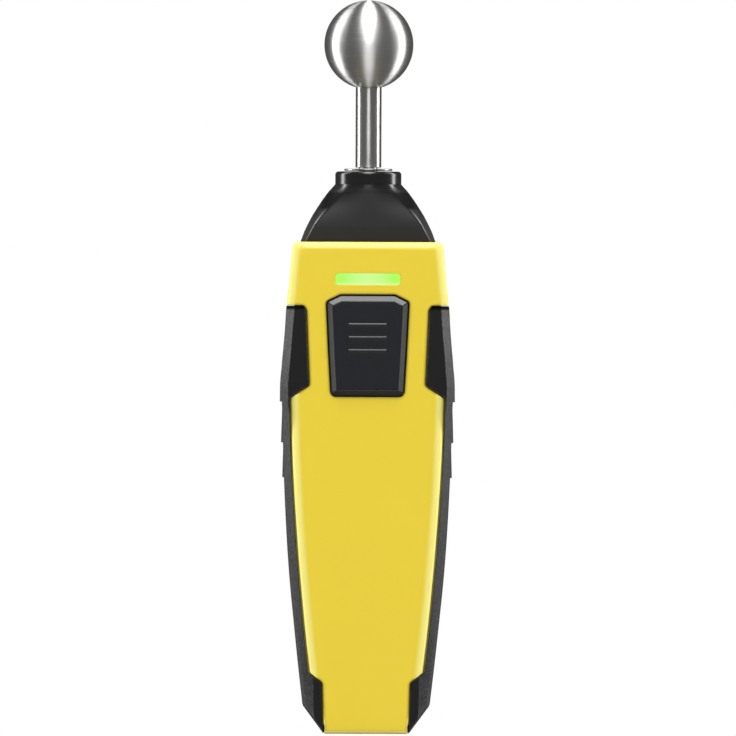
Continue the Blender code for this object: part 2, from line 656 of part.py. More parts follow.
def build_nose_cone():
    rings = [nose_base(118.9, scale=SPIGOT_SCALE), nose_base(121.4, scale=SPIGOT_SCALE),
             nose_base(121.5), nose_base(HOUSING_TOP)]
    rings += [nose_section(z) for z in NOSE_STATIONS]
    nose = piece("nose_cone", loft(rings), BLACK, smooth=32)
    add(nose, "nose_collar", turned(COLLAR_PROFILE))
    hollow = [nose_base(z, scale=SPIGOT_HOLLOW) for z in (117.5, 124.0)]
    hollow += [nose_section(z, scale) for z, scale in NOSE_HOLLOW]
    cut(nose, "nose_hollow", loft(hollow))
    add(nose, "nose_ears", join([box((-6.0, 6.0), y_range, (118.95, 120.6))
                                 for y_range in ((-10.3, -8.9), (8.9, 10.3))]))
    cut(nose, "nose_bore", cylinder(BORE_R, 130.0, 150.0))
    cut(nose, "seal_groove", turned(SEAL_GROOVE, 24))


# ------------------------------------------------------------------ electrode
BALL_FLAT_R = 3.6         # flat under the ball
BALL_BOTTOM = BALL_Z - math.sqrt(BALL_R**2 - BALL_FLAT_R**2)
BALL_HOLE_TOP = BALL_Z - 3.0
BALL_STEPS = 15
NECK_ANGLE = math.asin(3.45 / BALL_R)   # left open round the flat by the ball's arc
# Turned profiles as (radius, z).
ROD_PROFILE = [
    (0, 129.2), (2.0, 129.2), (ROD_THREAD_R, 129.6), (ROD_THREAD_R, 144.3), (ROD_R, 144.3),
    (ROD_R, BALL_BOTTOM - GAP), (ROD_THREAD_R, BALL_BOTTOM - GAP),
    (ROD_THREAD_R, BALL_HOLE_TOP - GAP), (0, BALL_HOLE_TOP - GAP)]
WASHER_PROFILE = [(ROD_HOLE_R, 143.5), (6.0, 143.5), (6.2, 143.65), (5.9, 144.0),
                  (ROD_HOLE_R, 144.0)]
SEAL_PROFILE = [(4.75, 142.85), (5.25, 142.72), (5.75, 142.85), (5.75, 143.2), (5.25, 143.34),
                (4.75, 143.2)]
BUSH_PROFILE = [(ROD_HOLE_R, 134.9), (5.7, 134.9), (5.7, 136.1), (3.9, 136.1), (3.9, 143.2),
                (ROD_HOLE_R, 143.2)]
TERMINAL_PROFILE = [(ROD_HOLE_R, 130.7), (4.4, 130.7), (4.4, 131.3), (ROD_HOLE_R, 131.3)]
TERMINAL_Y = -4.35        # axis of the ring terminal's barrel


def build_ball():
    profile = [(0, BALL_Z + BALL_R)]
    for k in range(1, BALL_STEPS):
        a = math.pi * k / BALL_STEPS * (1 - NECK_ANGLE / math.pi)
        profile.append((BALL_R * math.sin(a), BALL_Z + BALL_R * math.cos(a)))
    profile += [(BALL_FLAT_R, BALL_BOTTOM), (ROD_HOLE_R, BALL_BOTTOM),
                (ROD_HOLE_R, BALL_HOLE_TOP), (0, BALL_HOLE_TOP)]
    piece("ball_electrode", turned(list(reversed(profile)), 36), STEEL, 40)


def build_rod_fastening():
    piece("electrode_rod", turned(ROD_PROFILE, 28), STEEL, 40)
    piece("flange_washer", turned(WASHER_PROFILE, 32), STEEL, 40)
    piece("sealing_ring", turned(SEAL_PROFILE, 24), SEAL, 60)
    piece("insulating_bush", turned(BUSH_PROFILE, 24), NYLON, 40)
    nut = piece("rod_nut", cylinder(4.6, 131.6, 134.6, segments=6), NICKEL)
    cut(nut, "nut_bore", cylinder(ROD_HOLE_R, 130.0, 136.0))


def build_ring_terminal():
    terminal = piece("ring_terminal", turned(TERMINAL_PROFILE, 24), TIN, 40)
    barrel_at = (0, TERMINAL_Y, 0)
    add(terminal, "terminal_tab",
        box((-0.9, 0.9), (TERMINAL_Y - 0.3, TERMINAL_Y + 0.3), (127.6, 131.15)))
    add(terminal, "terminal_barrel", cylinder(1.15, 125.4, 128.0, 12, centre=barrel_at))
    cut(terminal, "terminal_bore", cylinder(0.85, 124.0, 127.4, 10, centre=barrel_at))


# ------------------------------------------------------------------ main board
BOARD_LOW_CUT, BOARD_HIGH_CUT = 2, 1.5      # corner cuts


def build_main_board():
    half, low, high = BOARD_HALF, BOARD_LOW_CUT, BOARD_HIGH_CUT
    outline = [(-half, BOARD_Z0 + low), (-half + low, BOARD_Z0), (half - low, BOARD_Z0),
               (half, BOARD_Z0 + low), (half, BOARD_Z1 - high), (half - high, BOARD_Z1),
               (-half + high, BOARD_Z1), (-half, BOARD_Z1 - high)]
    board = piece("main_board", prism_y(outline, BOARD_FRONT_Y, BOARD_BACK_Y), BOARD)
    through = {"y0": BOARD_FRONT_Y - OVER, "y1": BOARD_BACK_Y + OVER}
    cut(board, "board_holes", pegs(BOARD_POSTS, radius=1.2, segments=12, **through))
    cut(board, "lead_holes", pegs(LEAD_HOLES, radius=1.0, segments=10, **through))


# ------------------------------------------------------------------ screws
def pan_screw(x, z, head_y0, head_y1, head_r, tip_y, shank_r):
    """Pan-head screw whose shank points along -Y."""
    profile = [(0, tip_y), (shank_r * 0.55, tip_y + 0.4), (shank_r, tip_y + 1.6),
               (shank_r, head_y0), (head_r, head_y0),
               (head_r, head_y0 + (head_y1 - head_y0) * 0.55), (head_r * 0.72, head_y1),
               (0, head_y1)]
    return turned(profile, 16, "Y", (x, 0, z))


def build_housing_screws():
    long, thin, end_y = 1.2, 0.25, 9.0      # half-sizes and outer end of the cross drive
    for k, (x, z) in enumerate(SCREWS_AT, 1):
        shape = pan_screw(x, z, head_y0=6.5, head_y1=8.2, head_r=2.45, tip_y=-6.4, shank_r=0.75)
        screw = piece(f"housing_screw_{k}", shape, SCREW, 35)
        cut(screw, f"drive_h_{k}", block(x, z, long, thin, 7.5, end_y))
        cut(screw, f"drive_v_{k}", block(x, z, thin, long, 7.45, end_y))


def build_board_screws():
    for k, (x, z) in enumerate(BOARD_POSTS, 1):
        shape = pan_screw(x, z, head_y0=BOARD_BACK_Y + 0.2, head_y1=BOARD_BACK_Y + 1.0,
                          head_r=1.8, tip_y=-8.6, shank_r=0.5)
        screw = piece(f"board_screw_{k}", shape, SCREW, 35)
        cut(screw, f"board_drive_{k}", block(x, z, 0.8, 0.2, BOARD_BACK_Y + 0.65, 0.0))


# ------------------------------------------------------------------ push switch under the key
SWITCH_SQUARE = (3.0, 3.0, 0.4, 2, (0, SWITCH_Z))   # half x, half z, radius, steps, centre
SWITCH_WELL_R = 2.0
PLUNGER_PROFILE = [(0, -9.6), (1.35, -9.6), (1.6, -9.35), (1.6, -7.4), (0, -7.4)]   # (radius, y)


def build_switch():
    """Base, cover plate and plunger; returns the plunger."""
    at = (0, 0, SWITCH_Z)
    base = piece("switch_base", rounded_slab(*SWITCH_SQUARE, -8.1, PART_Y), CHIP)
    cut(base, "switch_well", cylinder(SWITCH_WELL_R, -9.0, -6.7, 20, "Y", at))
    cover = piece("switch_cover", rounded_slab(*SWITCH_SQUARE, -8.5, -8.3), TIN)
    cut(cover, "switch_cover_hole", cylinder(SWITCH_WELL_R, -9.0, -8.0, 20, "Y", at))
    return piece("switch_plunger", turned(PLUNGER_PROFILE, 20, "Y", at), CHIP)


# ------------------------------------------------------------------ lights and their window
LED_PITCH = 5.2


def build_lights():
    for tag, x in (("left", -LED_PITCH), ("middle", 0.0), ("right", LED_PITCH)):
        led = rounded_slab(1.0, 0.75, 0.2, 2, (x, WINDOW_Z), -6.5, PART_Y)
        piece(f"status_led_{tag}", led, LED)


def build_light_window():
    at = (0.0, WINDOW_Z)
    pane = rounded_slab(WINDOW_HALF_X, WINDOW_HALF_Z, 0.7, 3, at,
                        FRONT_Y + 0.05, FRONT_INSIDE_Y + 0.1)
    window = piece("light_window", pane, LENS)
    add(window, "window_pipe", rounded_slab(7.6, 1.2, 0.4, 2, at, -10.9, -7.2))
    add(window, "window_flange",
        rounded_slab(9.6, 2.3, 0.4, 2, at, FRONT_INSIDE_Y + GAP - 0.05, -9.6))


# ------------------------------------------------------------------ parts on the board
SHIELD_WALL = 0.3
# Extents in x, y and z.
CONTROLLER = ((-3.5, 3.5), (-6.6, PART_Y), (69.5, 76.5))
RADIO_BOARD = ((-6.0, 6.0), (-6.2, PART_Y), (46.0, 62.5))
RADIO_SHIELD = ((-5.2, 5.2), (-8.2, -6.4), (50.5, 61.6))
OSCILLATOR_SHIELD = ((-10.3, -4.3), (-8.0, PART_Y), (104.5, 113.0))
# Centres as (x, z).
CAPACITORS_AT = [(-8.9, 56.0), (8.9, 56.0), (7.2, 108.0), (-6.6, 73.0)]
RESISTORS_AT = [(-3.0, 79.6), (0.0, 79.6), (3.0, 79.6), (7.2, 104.5)]


def build_shield(name, hollow_name, extents, hollow_end_y):
    """Tin lid, open to the rear."""
    shield = piece(name, box(*extents), TIN)
    (x0, x1), (y0, _), (z0, z1) = extents
    cut(shield, hollow_name, box((x0 + SHIELD_WALL, x1 - SHIELD_WALL),
                                 (y0 + SHIELD_WALL, hollow_end_y),
                                 (z0 + SHIELD_WALL, z1 - SHIELD_WALL)))


def build_board_parts():
    piece("controller_chip", box(*CONTROLLER), CHIP)
    piece("radio_board", box(*RADIO_BOARD), BOARD)
    build_shield("radio_shield", "radio_shield_hollow", RADIO_SHIELD, -6.0)
    build_shield("oscillator_shield", "oscillator_hollow", OSCILLATOR_SHIELD, -4.0)
    piece("crystal_can", rounded_slab(5.4, 1.9, 1.8, 5, (0.0, 66.0), -8.4, PART_Y), TIN)
    for k, (x, z) in enumerate(CAPACITORS_AT, 1):
        piece(f"capacitor_{k}", block(x, z, 0.9, 0.55, -6.4, PART_Y), CERAMIC)
    for k, (x, z) in enumerate(RESISTORS_AT, 1):
        piece(f"resistor_{k}", block(x, z, 0.8, 0.4, -5.85, PART_Y), CHIP)


# ------------------------------------------------------------------ key cap
KEY_HOLLOW = [(-6.6, 89.0), (6.6, 89.0), (7.2, 97.5), (7.6, 108.2), (5.8, 109.1),
              (-5.8, 109.1), (-7.6, 108.2), (-7.2, 97.5)]
KEY_BEVEL = 1.45          # from the key's outline in to its face
KEY_FLANGE = 0.9
RIB_HALF = 4.85
RIBS_AT = (104.35, 101.05, 97.75)
# Rib section as (y from the key's face, z from the rib's place).
RIB_SECTION = [(0.3, 0.1), (-0.4, 0), (-0.38, -0.35), (0.02, -2.6), (0.3, -2.6)]


def build_key():
    side = grown(KEY_OUT, 0)
    key = piece("key_cap", loft([at_y(side, -10.3), at_y(side, -12.45),
                                 at_y(grown(KEY_OUT, -KEY_BEVEL), KEY_FACE_Y)]), KEY)
    add(key, "key_flange", prism_y(grown(KEY_OUT, KEY_FLANGE), -10.4, -9.4))
    cut(key, "key_hollow", prism_y(KEY_HOLLOW, -12.3, -8.0))
    add(key, "key_stem", cylinder(2.2, -12.6, -9.8, 16, "Y", (0, 0, SWITCH_Z)))
    for k, rib_z in enumerate(RIBS_AT):
        rib = loft([[(x, KEY_FACE_Y + dy, rib_z + dz) for dy, dz in RIB_SECTION]
                    for x in (-RIB_HALF, RIB_HALF)])
        add(key, f"key_rib_{k}", rib)
    return key


# ------------------------------------------------------------------ cells and contacts
# Cell profile as (radius, distance from the flat end), with the button at the far end.
CELL_SHOULDER = CELL_LEN - 1.2
CELL_PROFILE = [
    (0, 0), (CELL_R - 0.9, 0), (CELL_R - 0.9, 0.3), (CELL_R - 0.3, 0.3), (CELL_R, 0.6),
    (CELL_R, CELL_SHOULDER - 0.6), (CELL_R - 0.5, CELL_SHOULDER), (1.9, CELL_SHOULDER),
    (1.9, CELL_LEN - 0.2), (1.7, CELL_LEN), (0, CELL_LEN)]
SPRING_TURNS, SPRING_WIRE_R = 3.2, 0.3
SPRING_PLATE_R, SPRING_CELL_R = 3.6, 2.4    # coil radius at the plate and at the cell
SPRING_GAP = 0.6                            # from the spring's centreline to the cell
CONTACT_Y = (CELL_Y - 4.4, CELL_Y + 4.4)
CONTACT_NEAR, CONTACT_FAR = 1.0, 10.2       # x of the upper plates' inner and outer edges
LOW_PLATE_Z = (13.9, 14.3)
UPPER_PLATE_Z = (65.5, 65.9)
TAB_NEAR, TAB_FAR = 4.5, 6.5
TAB_Y, TAB_Z = (1.6, 2.0), (65.6, 72.4)
BRIDGE_DIMPLE = [(0, 14.1), (2.4, 14.1), (1.7, 17.3), (0, 17.3)]
POSITIVE_DIMPLE = [(0, 62.4), (1.7, 62.4), (2.4, 65.7), (0, 65.7)]


def build_cells():
    """Left cell button up, right cell button down."""
    left = [(radius, CELL_Z0 + h) for radius, h in CELL_PROFILE]
    right = [(radius, CELL_TOP - h) for radius, h in CELL_PROFILE]
    piece("cell_left", turned(left, 28, "Z", (-CELL_X, CELL_Y, 0)), CELL, 40)
    piece("cell_right", turned(right, 28, "Z", (CELL_X, CELL_Y, 0)), CELL, 40)


def build_spring(name, x, plate_z, cell_z):
    """Conical coil from its plate to its cell."""
    points, n = [], int(SPRING_TURNS * 14)
    for k in range(n + 1):
        t = k / n
        a = 2 * math.pi * SPRING_TURNS * t
        radius = SPRING_PLATE_R + (SPRING_CELL_R - SPRING_PLATE_R) * t
        points.append((x + radius * math.cos(a), CELL_Y + radius * math.sin(a),
                       plate_z + (cell_z - plate_z) * t))
    piece(name, tube(points, SPRING_WIRE_R, 6), NICKEL, 60)


def build_contacts():
    """Lower bridge and two upper plates, whose tabs pass through the bay's wall."""
    bridge = piece("contact_bridge",
                   box((-CONTACT_FAR, CONTACT_FAR), CONTACT_Y, LOW_PLATE_Z), NICKEL)
    add(bridge, "bridge_dimple", turned(BRIDGE_DIMPLE, 16, "Z", (CELL_X, CELL_Y, 0)))
    negative = piece("contact_negative",
                     box((CONTACT_NEAR, CONTACT_FAR), CONTACT_Y, UPPER_PLATE_Z), NICKEL)
    positive = piece("contact_positive",
                     box((-CONTACT_FAR, -CONTACT_NEAR), CONTACT_Y, UPPER_PLATE_Z), NICKEL)
    add(positive, "positive_dimple", turned(POSITIVE_DIMPLE, 16, "Z", (-CELL_X, CELL_Y, 0)))
    add(negative, "negative_tab", box((TAB_NEAR, TAB_FAR), TAB_Y, TAB_Z))
    add(positive, "positive_tab", box((-TAB_FAR, -TAB_NEAR), TAB_Y, TAB_Z))


# ------------------------------------------------------------------ leads
# Control points as (x, y, z): ring terminal to board, and right-hand tab to board.
ELECTRODE_LEAD = [
    (0, TERMINAL_Y, 127.1), (0, TERMINAL_Y, 124.4), (3.2, -5.2, 121.6), (7.6, -6.4, 119.2),
    (9.0, -7.2, 116.5), (9.0, -7.2, 114.0), (9.0, -6.4, 112.6), (9.0, -4.6, 112.5),
    (9.0, -3.0, 112.5)]
TAB_LEAD = [(5.5, 1.0, 71.8), (6.2, -0.4, 72.4), (8.0, -1.6, 72.0), (8.6, -2.6, 70.6),
            (8.6, -3.4, 70.0), (8.6, -5.6, 70.0)]


def build_lead(name, points, radius, mat):
    piece(name, tube(smooth_path(points), radius, 8), mat, 60)


# ------------------------------------------------------------------ assembly
build_front_cover()
build_rear_cover()
for grip_side, grip_tag in SIDES:
    build_grip(grip_side, grip_tag)
battery_door = build_battery_door()
build_nose_cone()
build_ball()
build_rod_fastening()
build_ring_terminal()
build_main_board()
build_housing_screws()
build_board_screws()
plunger = build_switch()
build_lights()
build_light_window()
build_board_parts()
key_cap = build_key()
build_cells()
build_spring("lower_spring", -CELL_X, plate_z=14.85, cell_z=CELL_Z0 - SPRING_GAP)
build_spring("upper_spring", CELL_X, plate_z=65.0, cell_z=CELL_TOP + SPRING_GAP)
build_contacts()
build_lead("electrode_lead", ELECTRODE_LEAD, 0.6, RED_WIRE)
build_lead("negative_lead", TAB_LEAD, 0.5, BLACK_WIRE)
build_lead("positive_lead", [(-x, y, z) for x, y, z in TAB_LEAD], 0.5, RED_WIRE)

hang(key_cap, "key_axis", (0, -12.0, SWITCH_Z))
hang(plunger, "plunger_axis", (0, -8.5, SWITCH_Z))
hang(battery_door, "door_axis", (0, BACK_Y, HINGE_Z))
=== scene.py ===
"""Looks of a hand-held moisture meter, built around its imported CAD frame.

The meter stands upright along +Z with its ball electrode at the top. It is centred on the Z axis,
its front with the key and the light bar faces -Y, and its right-hand side is +X.
Lengths are in millimetres, and mm() turns them into metres. Lights, floor and camera use metres.
"""

from math import acos, atan2, cos, pi, radians, sin, sqrt, tan

import bmesh
import bpy
from mathutils import Matrix, Vector


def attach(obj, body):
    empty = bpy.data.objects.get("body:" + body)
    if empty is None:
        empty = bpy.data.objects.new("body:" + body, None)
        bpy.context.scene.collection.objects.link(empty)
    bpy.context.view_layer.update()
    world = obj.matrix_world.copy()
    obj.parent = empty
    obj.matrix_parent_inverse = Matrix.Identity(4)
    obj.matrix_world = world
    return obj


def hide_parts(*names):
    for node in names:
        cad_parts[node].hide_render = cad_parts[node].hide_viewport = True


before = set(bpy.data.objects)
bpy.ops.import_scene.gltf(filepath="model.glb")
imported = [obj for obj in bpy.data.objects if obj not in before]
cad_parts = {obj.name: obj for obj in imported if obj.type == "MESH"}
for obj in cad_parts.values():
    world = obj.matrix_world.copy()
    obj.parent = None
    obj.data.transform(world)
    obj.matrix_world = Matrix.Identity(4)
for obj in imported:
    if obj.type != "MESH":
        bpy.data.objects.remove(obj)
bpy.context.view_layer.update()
scene = bpy.context.scene


def mm(v):
    return v * 0.001


# ------------------------------------------------------------------ driving dimensions
FRONT_Y, BACK_Y = -12.5, 12.5        # faces of the two covers
RIM_Y, BACK_RIM_Y = -12.1, 11.7      # front and back faces of the grips
PARTING_Y, GAP = 1.0, 0.3            # joint between the covers, and the gap between mouldings
HOUSING_TOP, COLLAR_BASE = 125.3, 140.1    # the nose tapers between these heights
WALL, FACE_WALL, GRIP_WALL = 1.8, 1.7, 1.7
MIN_HALF = 10.6                      # least half width of the covers
TOP_CORNER = 1.5                     # radius of the covers' top corners
BACK_INSET = 0.4                     # how far the back cover's rim lies inside the front one's

DOOR_HALF, DOOR_Z = (11.8, 27.3), 40.7     # battery door: half width and half height, middle
BAR_HALF, BAR_Z = (8.19, 1.36), 115.85     # light bar: the same
BAR_CLEARANCE = 0.11
KEY_FACE_Y = -13.7
BALL_RADIUS, BALL_Z, BALL_NECK = 11.35, 175.6, 3.6
CELL_BOTTOM, CELL_TOP = 17.6, 62.1

# places of the screws, (x, z)
HOUSING_SCREWS = [(-13.4, 104.5), (13.4, 104.5), (-13.6, 74.0), (13.6, 74.0), (0.0, 7.2)]
BOARD_SCREWS = [(-8.5, 45.0), (8.5, 45.0), (-8.6, 81.5), (8.6, 81.5)]

# ------------------------------------------------------------------ measured stations
# (z, half width) of the body across the grips, and of the covers alone
GRIP_WIDTHS = [
    (-1, 15.2), (7.3, 16.2), (19, 17.55), (29, 18.6), (39, 19.6), (49, 20.35), (60, 20.95),
    (66, 21.2), (75, 21.5), (85, 21.8), (90, 22.0), (94, 21.85), (98, 21.5), (103, 21.1),
    (109, 20.75), (126, 19.4)]
COVER_WIDTHS = [
    (-1, 13.5), (15, 14.45), (24, 15.4), (34, 16.4), (44, 17.3), (54, 18.05), (65, 18.75),
    (75, 19.2), (85, 19.5), (97, 20.2), (109, 20.55), (113.6, 20.15), (118, 19.75),
    (122, 19.4), (126, 18.95)]

# (z, x) where the flat front of a grip ends, and (z, y) where its slanted front facet ends
GRIP_FLAT_END = [
    (0, 13.3), (13, 13.4), (20, 14.1), (30, 15.4), (44, 16.8), (60, 18.1), (75, 19.1),
    (84, 20.25), (88, 20.45), (109, 18.75)]
GRIP_SHOULDER = [(0, -10.2), (15.6, -10.2), (30, -9.0), (60, -8.4), (85, -7.4), (109, -7.0)]
# (z, x) of a grip's inner front edge at its foot and its head, and (z, y) of the step behind it
GRIP_FOOT = [(0.8, 10.95), (12.9, 11.35)]
GRIP_HEAD = [(88.8, 14.9), (107.9, 15.72), (108.8, 16.5)]
GRIP_STEP = [(15.7, -10.7), (17.0, -9.8), (84.0, -9.8), (85.4, -10.7)]
# finger ridges on the sides of the grips: low z, high z, height
RIDGES = ((84.5, 93.5, 0.55), (74.1, 82.5, 0.5), (65.2, 72.5, 0.45))

# nose section by z: half width at y = 0, half width of the front face, half depth
NOSE_SIDE = [
    (125.3, 17.25), (127.9, 16.3), (129.9, 15.35), (132.0, 14.25), (134.0, 13.0),
    (136.0, 11.7), (138.1, 10.15), (140.1, 8.35)]
NOSE_EDGE = [(125.3, 16.05), (131.2, 12.95), (137.0, 9.65), (140.1, 8.0)]
NOSE_DEPTH = [(125.3, 9.6), (129, 9.5), (133, 9.15), (137, 8.7), (140.1, 8.35)]
NOSE_EDGE_DROP = [(125.3, 0.7), (133, 1.1), (140.1, 3.0)]    # how far the edge lies inside the depth

# outline of the key, (x, z)
KEY_OUTLINE = [
    (-9.15, 86.9), (-8.5, 86.15), (8.5, 86.15), (9.15, 86.9), (9.75, 97.5), (10.35, 109.9),
    (6.9, 111.6), (-6.9, 111.6), (-10.35, 109.9), (-9.75, 97.5)]
KEY_HOLLOW = [
    (-6.6, 89.0), (6.6, 89.0), (7.2, 97.5), (7.6, 108.2), (5.8, 109.1), (-5.8, 109.1),
    (-7.6, 108.2), (-7.2, 97.5)]
# section of the key from back to front: inset of the outline, y
KEY_SECTION = [
    (0.12, -10.3), (0.0, -10.45), (0.0, -12.18), (0.02, -12.34), (0.09, -12.50),
    (0.20, -12.63), (1.22, -13.50), (1.33, -13.59), (1.47, -13.66), (1.62, KEY_FACE_Y)]


# ------------------------------------------------------------------ curves
def spline(table, z):
    """Smooth curve through (z, value) stations that never overshoots them."""
    n = len(table)
    if z <= table[0][0]:
        return table[0][1]
    if z >= table[-1][0]:
        return table[-1][1]
    slopes = [(table[i + 1][1] - table[i][1]) / (table[i + 1][0] - table[i][0])
              for i in range(n - 1)]
    i = max(k for k in range(n - 1) if table[k][0] <= z)

    def tangent(k):
        if k == 0:
            return slopes[0]
        if k == n - 1:
            return slopes[-1]
        before, after = slopes[k - 1], slopes[k]
        return 0.0 if before * after <= 0 else 2 * before * after / (before + after)

    span = table[i + 1][0] - table[i][0]
    t = (z - table[i][0]) / span
    return ((2 * t**3 - 3 * t**2 + 1) * table[i][1]
            + (t**3 - 2 * t**2 + t) * span * tangent(i)
            + (-2 * t**3 + 3 * t**2) * table[i + 1][1]
            + (t**3 - t**2) * span * tangent(i + 1))


def lerp(table, z):
    """Straight lines through (z, value) stations."""
    if z <= table[0][0]:
        return table[0][1]
    for (z0, v0), (z1, v1) in zip(table, table[1:]):
        if z <= z1:
            return v0 + (v1 - v0) * (z - z0) / (z1 - z0)
    return table[-1][1]


def smoothstep(low, high, x):
    t = min(1.0, max(0.0, (x - low) / (high - low)))
    return t * t * (3 - 2 * t)


def steps(start, end, pitch):
    n = max(1, round((end - start) / pitch))
    return [start + (end - start) * k / n for k in range(n + 1)]


def merged(values, least=0.02):
    """Sorted values without those closer than least to the one before."""
    out = []
    for v in sorted(values):
        if not out or v - out[-1] > least:
            out.append(v)
    return out


# ------------------------------------------------------------------ widths of the body by height
def foot_slant(z):
    """Line that trims the lower corners of the body."""
    return 10.8 + 0.74 * z


def grip_half(z):
    return min(spline(GRIP_WIDTHS, z), foot_slant(z))


def cover_half(z):
    return spline(COVER_WIDTHS, z)


def wall_half(z):
    """Side wall of the covers, which the grips lie against."""
    return max(MIN_HALF, min(spline(GRIP_WIDTHS, z) - GRIP_WALL - GAP, 9.3 + 0.74 * z))


def rim_half(z):
    """Narrower rim of the covers, beside the faces of the grips."""
    return min(cover_half(z), wall_half(z) - 0.3)


def rim_outline_half(z):
    return max(MIN_HALF, rim_half(z))


def grip_flat_end(z):
    return min(lerp(GRIP_FLAT_END, z), foot_slant(z) - 0.35)


def grip_inner_edge(z):
    """Inner edge of a grip's front face: wide pad, narrow strip along the rim, wide cheek."""
    pad_top, strip_low, strip_high, cheek_low = 12.9, 15.6, 85.6, 88.8
    clearance = 0.35
    rim = rim_half(z) + clearance
    if z <= pad_top:
        return lerp(GRIP_FOOT, z)
    if z <= strip_low:
        return 11.35 + (rim_half(strip_low) + clearance - 11.35) * (z - pad_top) / 2.7
    if z < strip_high:
        return rim
    if z < cheek_low:
        return rim + (14.9 - rim) * (z - strip_high) / 3.2
    return lerp(GRIP_HEAD, z)


# ------------------------------------------------------------------ outlines
def fillet(points, radii, count=5):
    """Closed 2-D polygon with each corner swapped for an arc of count points."""
    n, out = len(points), []
    for i in range(n):
        before, corner, after = (Vector(points[(i + k) % n]) for k in (-1, 0, 1))
        radius = radii[i] if isinstance(radii, list) else radii
        length_in, length_out = (before - corner).length, (after - corner).length
        if length_in < 1e-9 or length_out < 1e-9:
            out += [tuple(corner)] * count
            continue
        u, v = (before - corner) / length_in, (after - corner) / length_out
        half = acos(max(-0.9999, min(0.9999, u.dot(v)))) / 2
        cut = min(radius / tan(half), length_in * 0.48, length_out * 0.48)
        radius = cut * tan(half)
        middle = u + v
        middle = middle.normalized() if middle.length > 1e-9 else Vector((-u.y, u.x))
        centre = corner + middle * (radius / sin(half))
        start = atan2(*(corner + u * cut - centre).yx)
        turn = atan2(*(corner + v * cut - centre).yx) - start
        while turn > pi:
            turn -= 2 * pi
        while turn < -pi:
            turn += 2 * pi
        for k in range(count):
            t = start + turn * k / (count - 1)
            out.append((centre.x + radius * cos(t), centre.y + radius * sin(t)))
    return out


def inset(outline, distance):
    """Closed 2-D outline, either way round, moved inwards by distance along its normals."""
    n = len(outline)
    area = sum(outline[i][0] * outline[(i + 1) % n][1] - outline[(i + 1) % n][0] * outline[i][1]
               for i in range(n))
    sign = 1 if area > 0 else -1
    out = []
    for i in range(n):
        before, point, after = (Vector(outline[(i + k) % n]) for k in (-1, 0, 1))
        edge_in, edge_out = (point - before), (after - point)
        edge_in = edge_in.normalized() if edge_in.length > 1e-9 else edge_out.normalized()
        edge_out = edge_out.normalized() if edge_out.length > 1e-9 else edge_in
        normal = Vector((-edge_in.y, edge_in.x)) + Vector((-edge_out.y, edge_out.x))
        normal = normal / max(normal.length_squared * 0.5, 0.3)
        out.append((point.x + normal.x * distance * sign, point.y + normal.y * distance * sign))
    return out


def mirrored(outline, side):
    return [(side * x, z) for x, z in outline]


def rounded_rect(half_x, half_z, radius, middle_z, count=8):
    corners = [(half_x, half_z), (-half_x, half_z), (-half_x, -half_z), (half_x, -half_z)]
    return [(x, z + middle_z) for x, z in fillet(corners, radius, count)]


def rounded_profile(points, radii, count=5):
    """Closed (radius, height) profile with rounded corners; corners on the axis stay sharp."""
    out = []
    for i, (radius, height) in enumerate(fillet(points, radii, count)):
        corner = points[i // count]
        if corner[0] < 1e-6:
            if i % count == 0:
                out.append(corner)
        else:
            out.append((max(radius, 0.0), height))
    return out


# ------------------------------------------------------------------ mesh tools
def shade(mesh, angle):
    """Smooth shading, with edges sharper than angle (degrees) kept crisp."""
    mesh.shade_smooth()
    if angle:
        mesh.set_sharp_from_angle(angle=radians(angle))


def finish_mesh(name, bm, angle=35.0):
    bmesh.ops.remove_doubles(bm, verts=bm.verts, dist=2e-7)
    bmesh.ops.recalc_face_normals(bm, faces=bm.faces)
    mesh = bpy.data.meshes.new(name)
    bm.to_mesh(mesh)
    bm.free()
    shade(mesh, angle)
    obj = bpy.data.objects.new(name, mesh)
    scene.collection.objects.link(obj)
    return obj


def loft(rings):
    """Skin over rings of (x, y, z) with equal counts, capped at both ends."""
    bm = bmesh.new()
    layers = [[bm.verts.new((mm(x), mm(y), mm(z))) for x, y, z in ring] for ring in rings]
    n = len(layers[0])
    for a, b in zip(layers, layers[1:]):
        for i in range(n):
            j = (i + 1) % n
            bm.faces.new((a[i], a[j], b[j], b[i]))
    bm.faces.new(list(reversed(layers[0])))
    bm.faces.new(layers[-1])
    return bm


def box(x, y, z):
    """Box from its (low, high) extents."""
    bm = bmesh.new()
    bmesh.ops.create_cube(bm, size=1.0)
    middle = [mm((low + high) / 2) for low, high in (x, y, z)]
    size = [mm(high - low) for low, high in (x, y, z)]
    bm.transform(Matrix.Translation(middle) @ Matrix.Diagonal((*size, 1.0)))
    return bm


def join(*parts):
    out = bmesh.new()
    for part in parts:
        mesh = bpy.data.meshes.new("tmp")
        part.to_mesh(mesh)
        part.free()
        out.from_mesh(mesh)
        bpy.data.meshes.remove(mesh)
    return out


def box_pair(x, y, z):
    """The same box on the left and on the right."""
    return join(box((-x[1], -x[0]), y, z), box(x, y, z))


def at_y(outline, y):
    return [(x, y, z) for x, z in outline]


def prism_y(outline, y0, y1):
    return loft([at_y(outline, y0), at_y(outline, y1)])


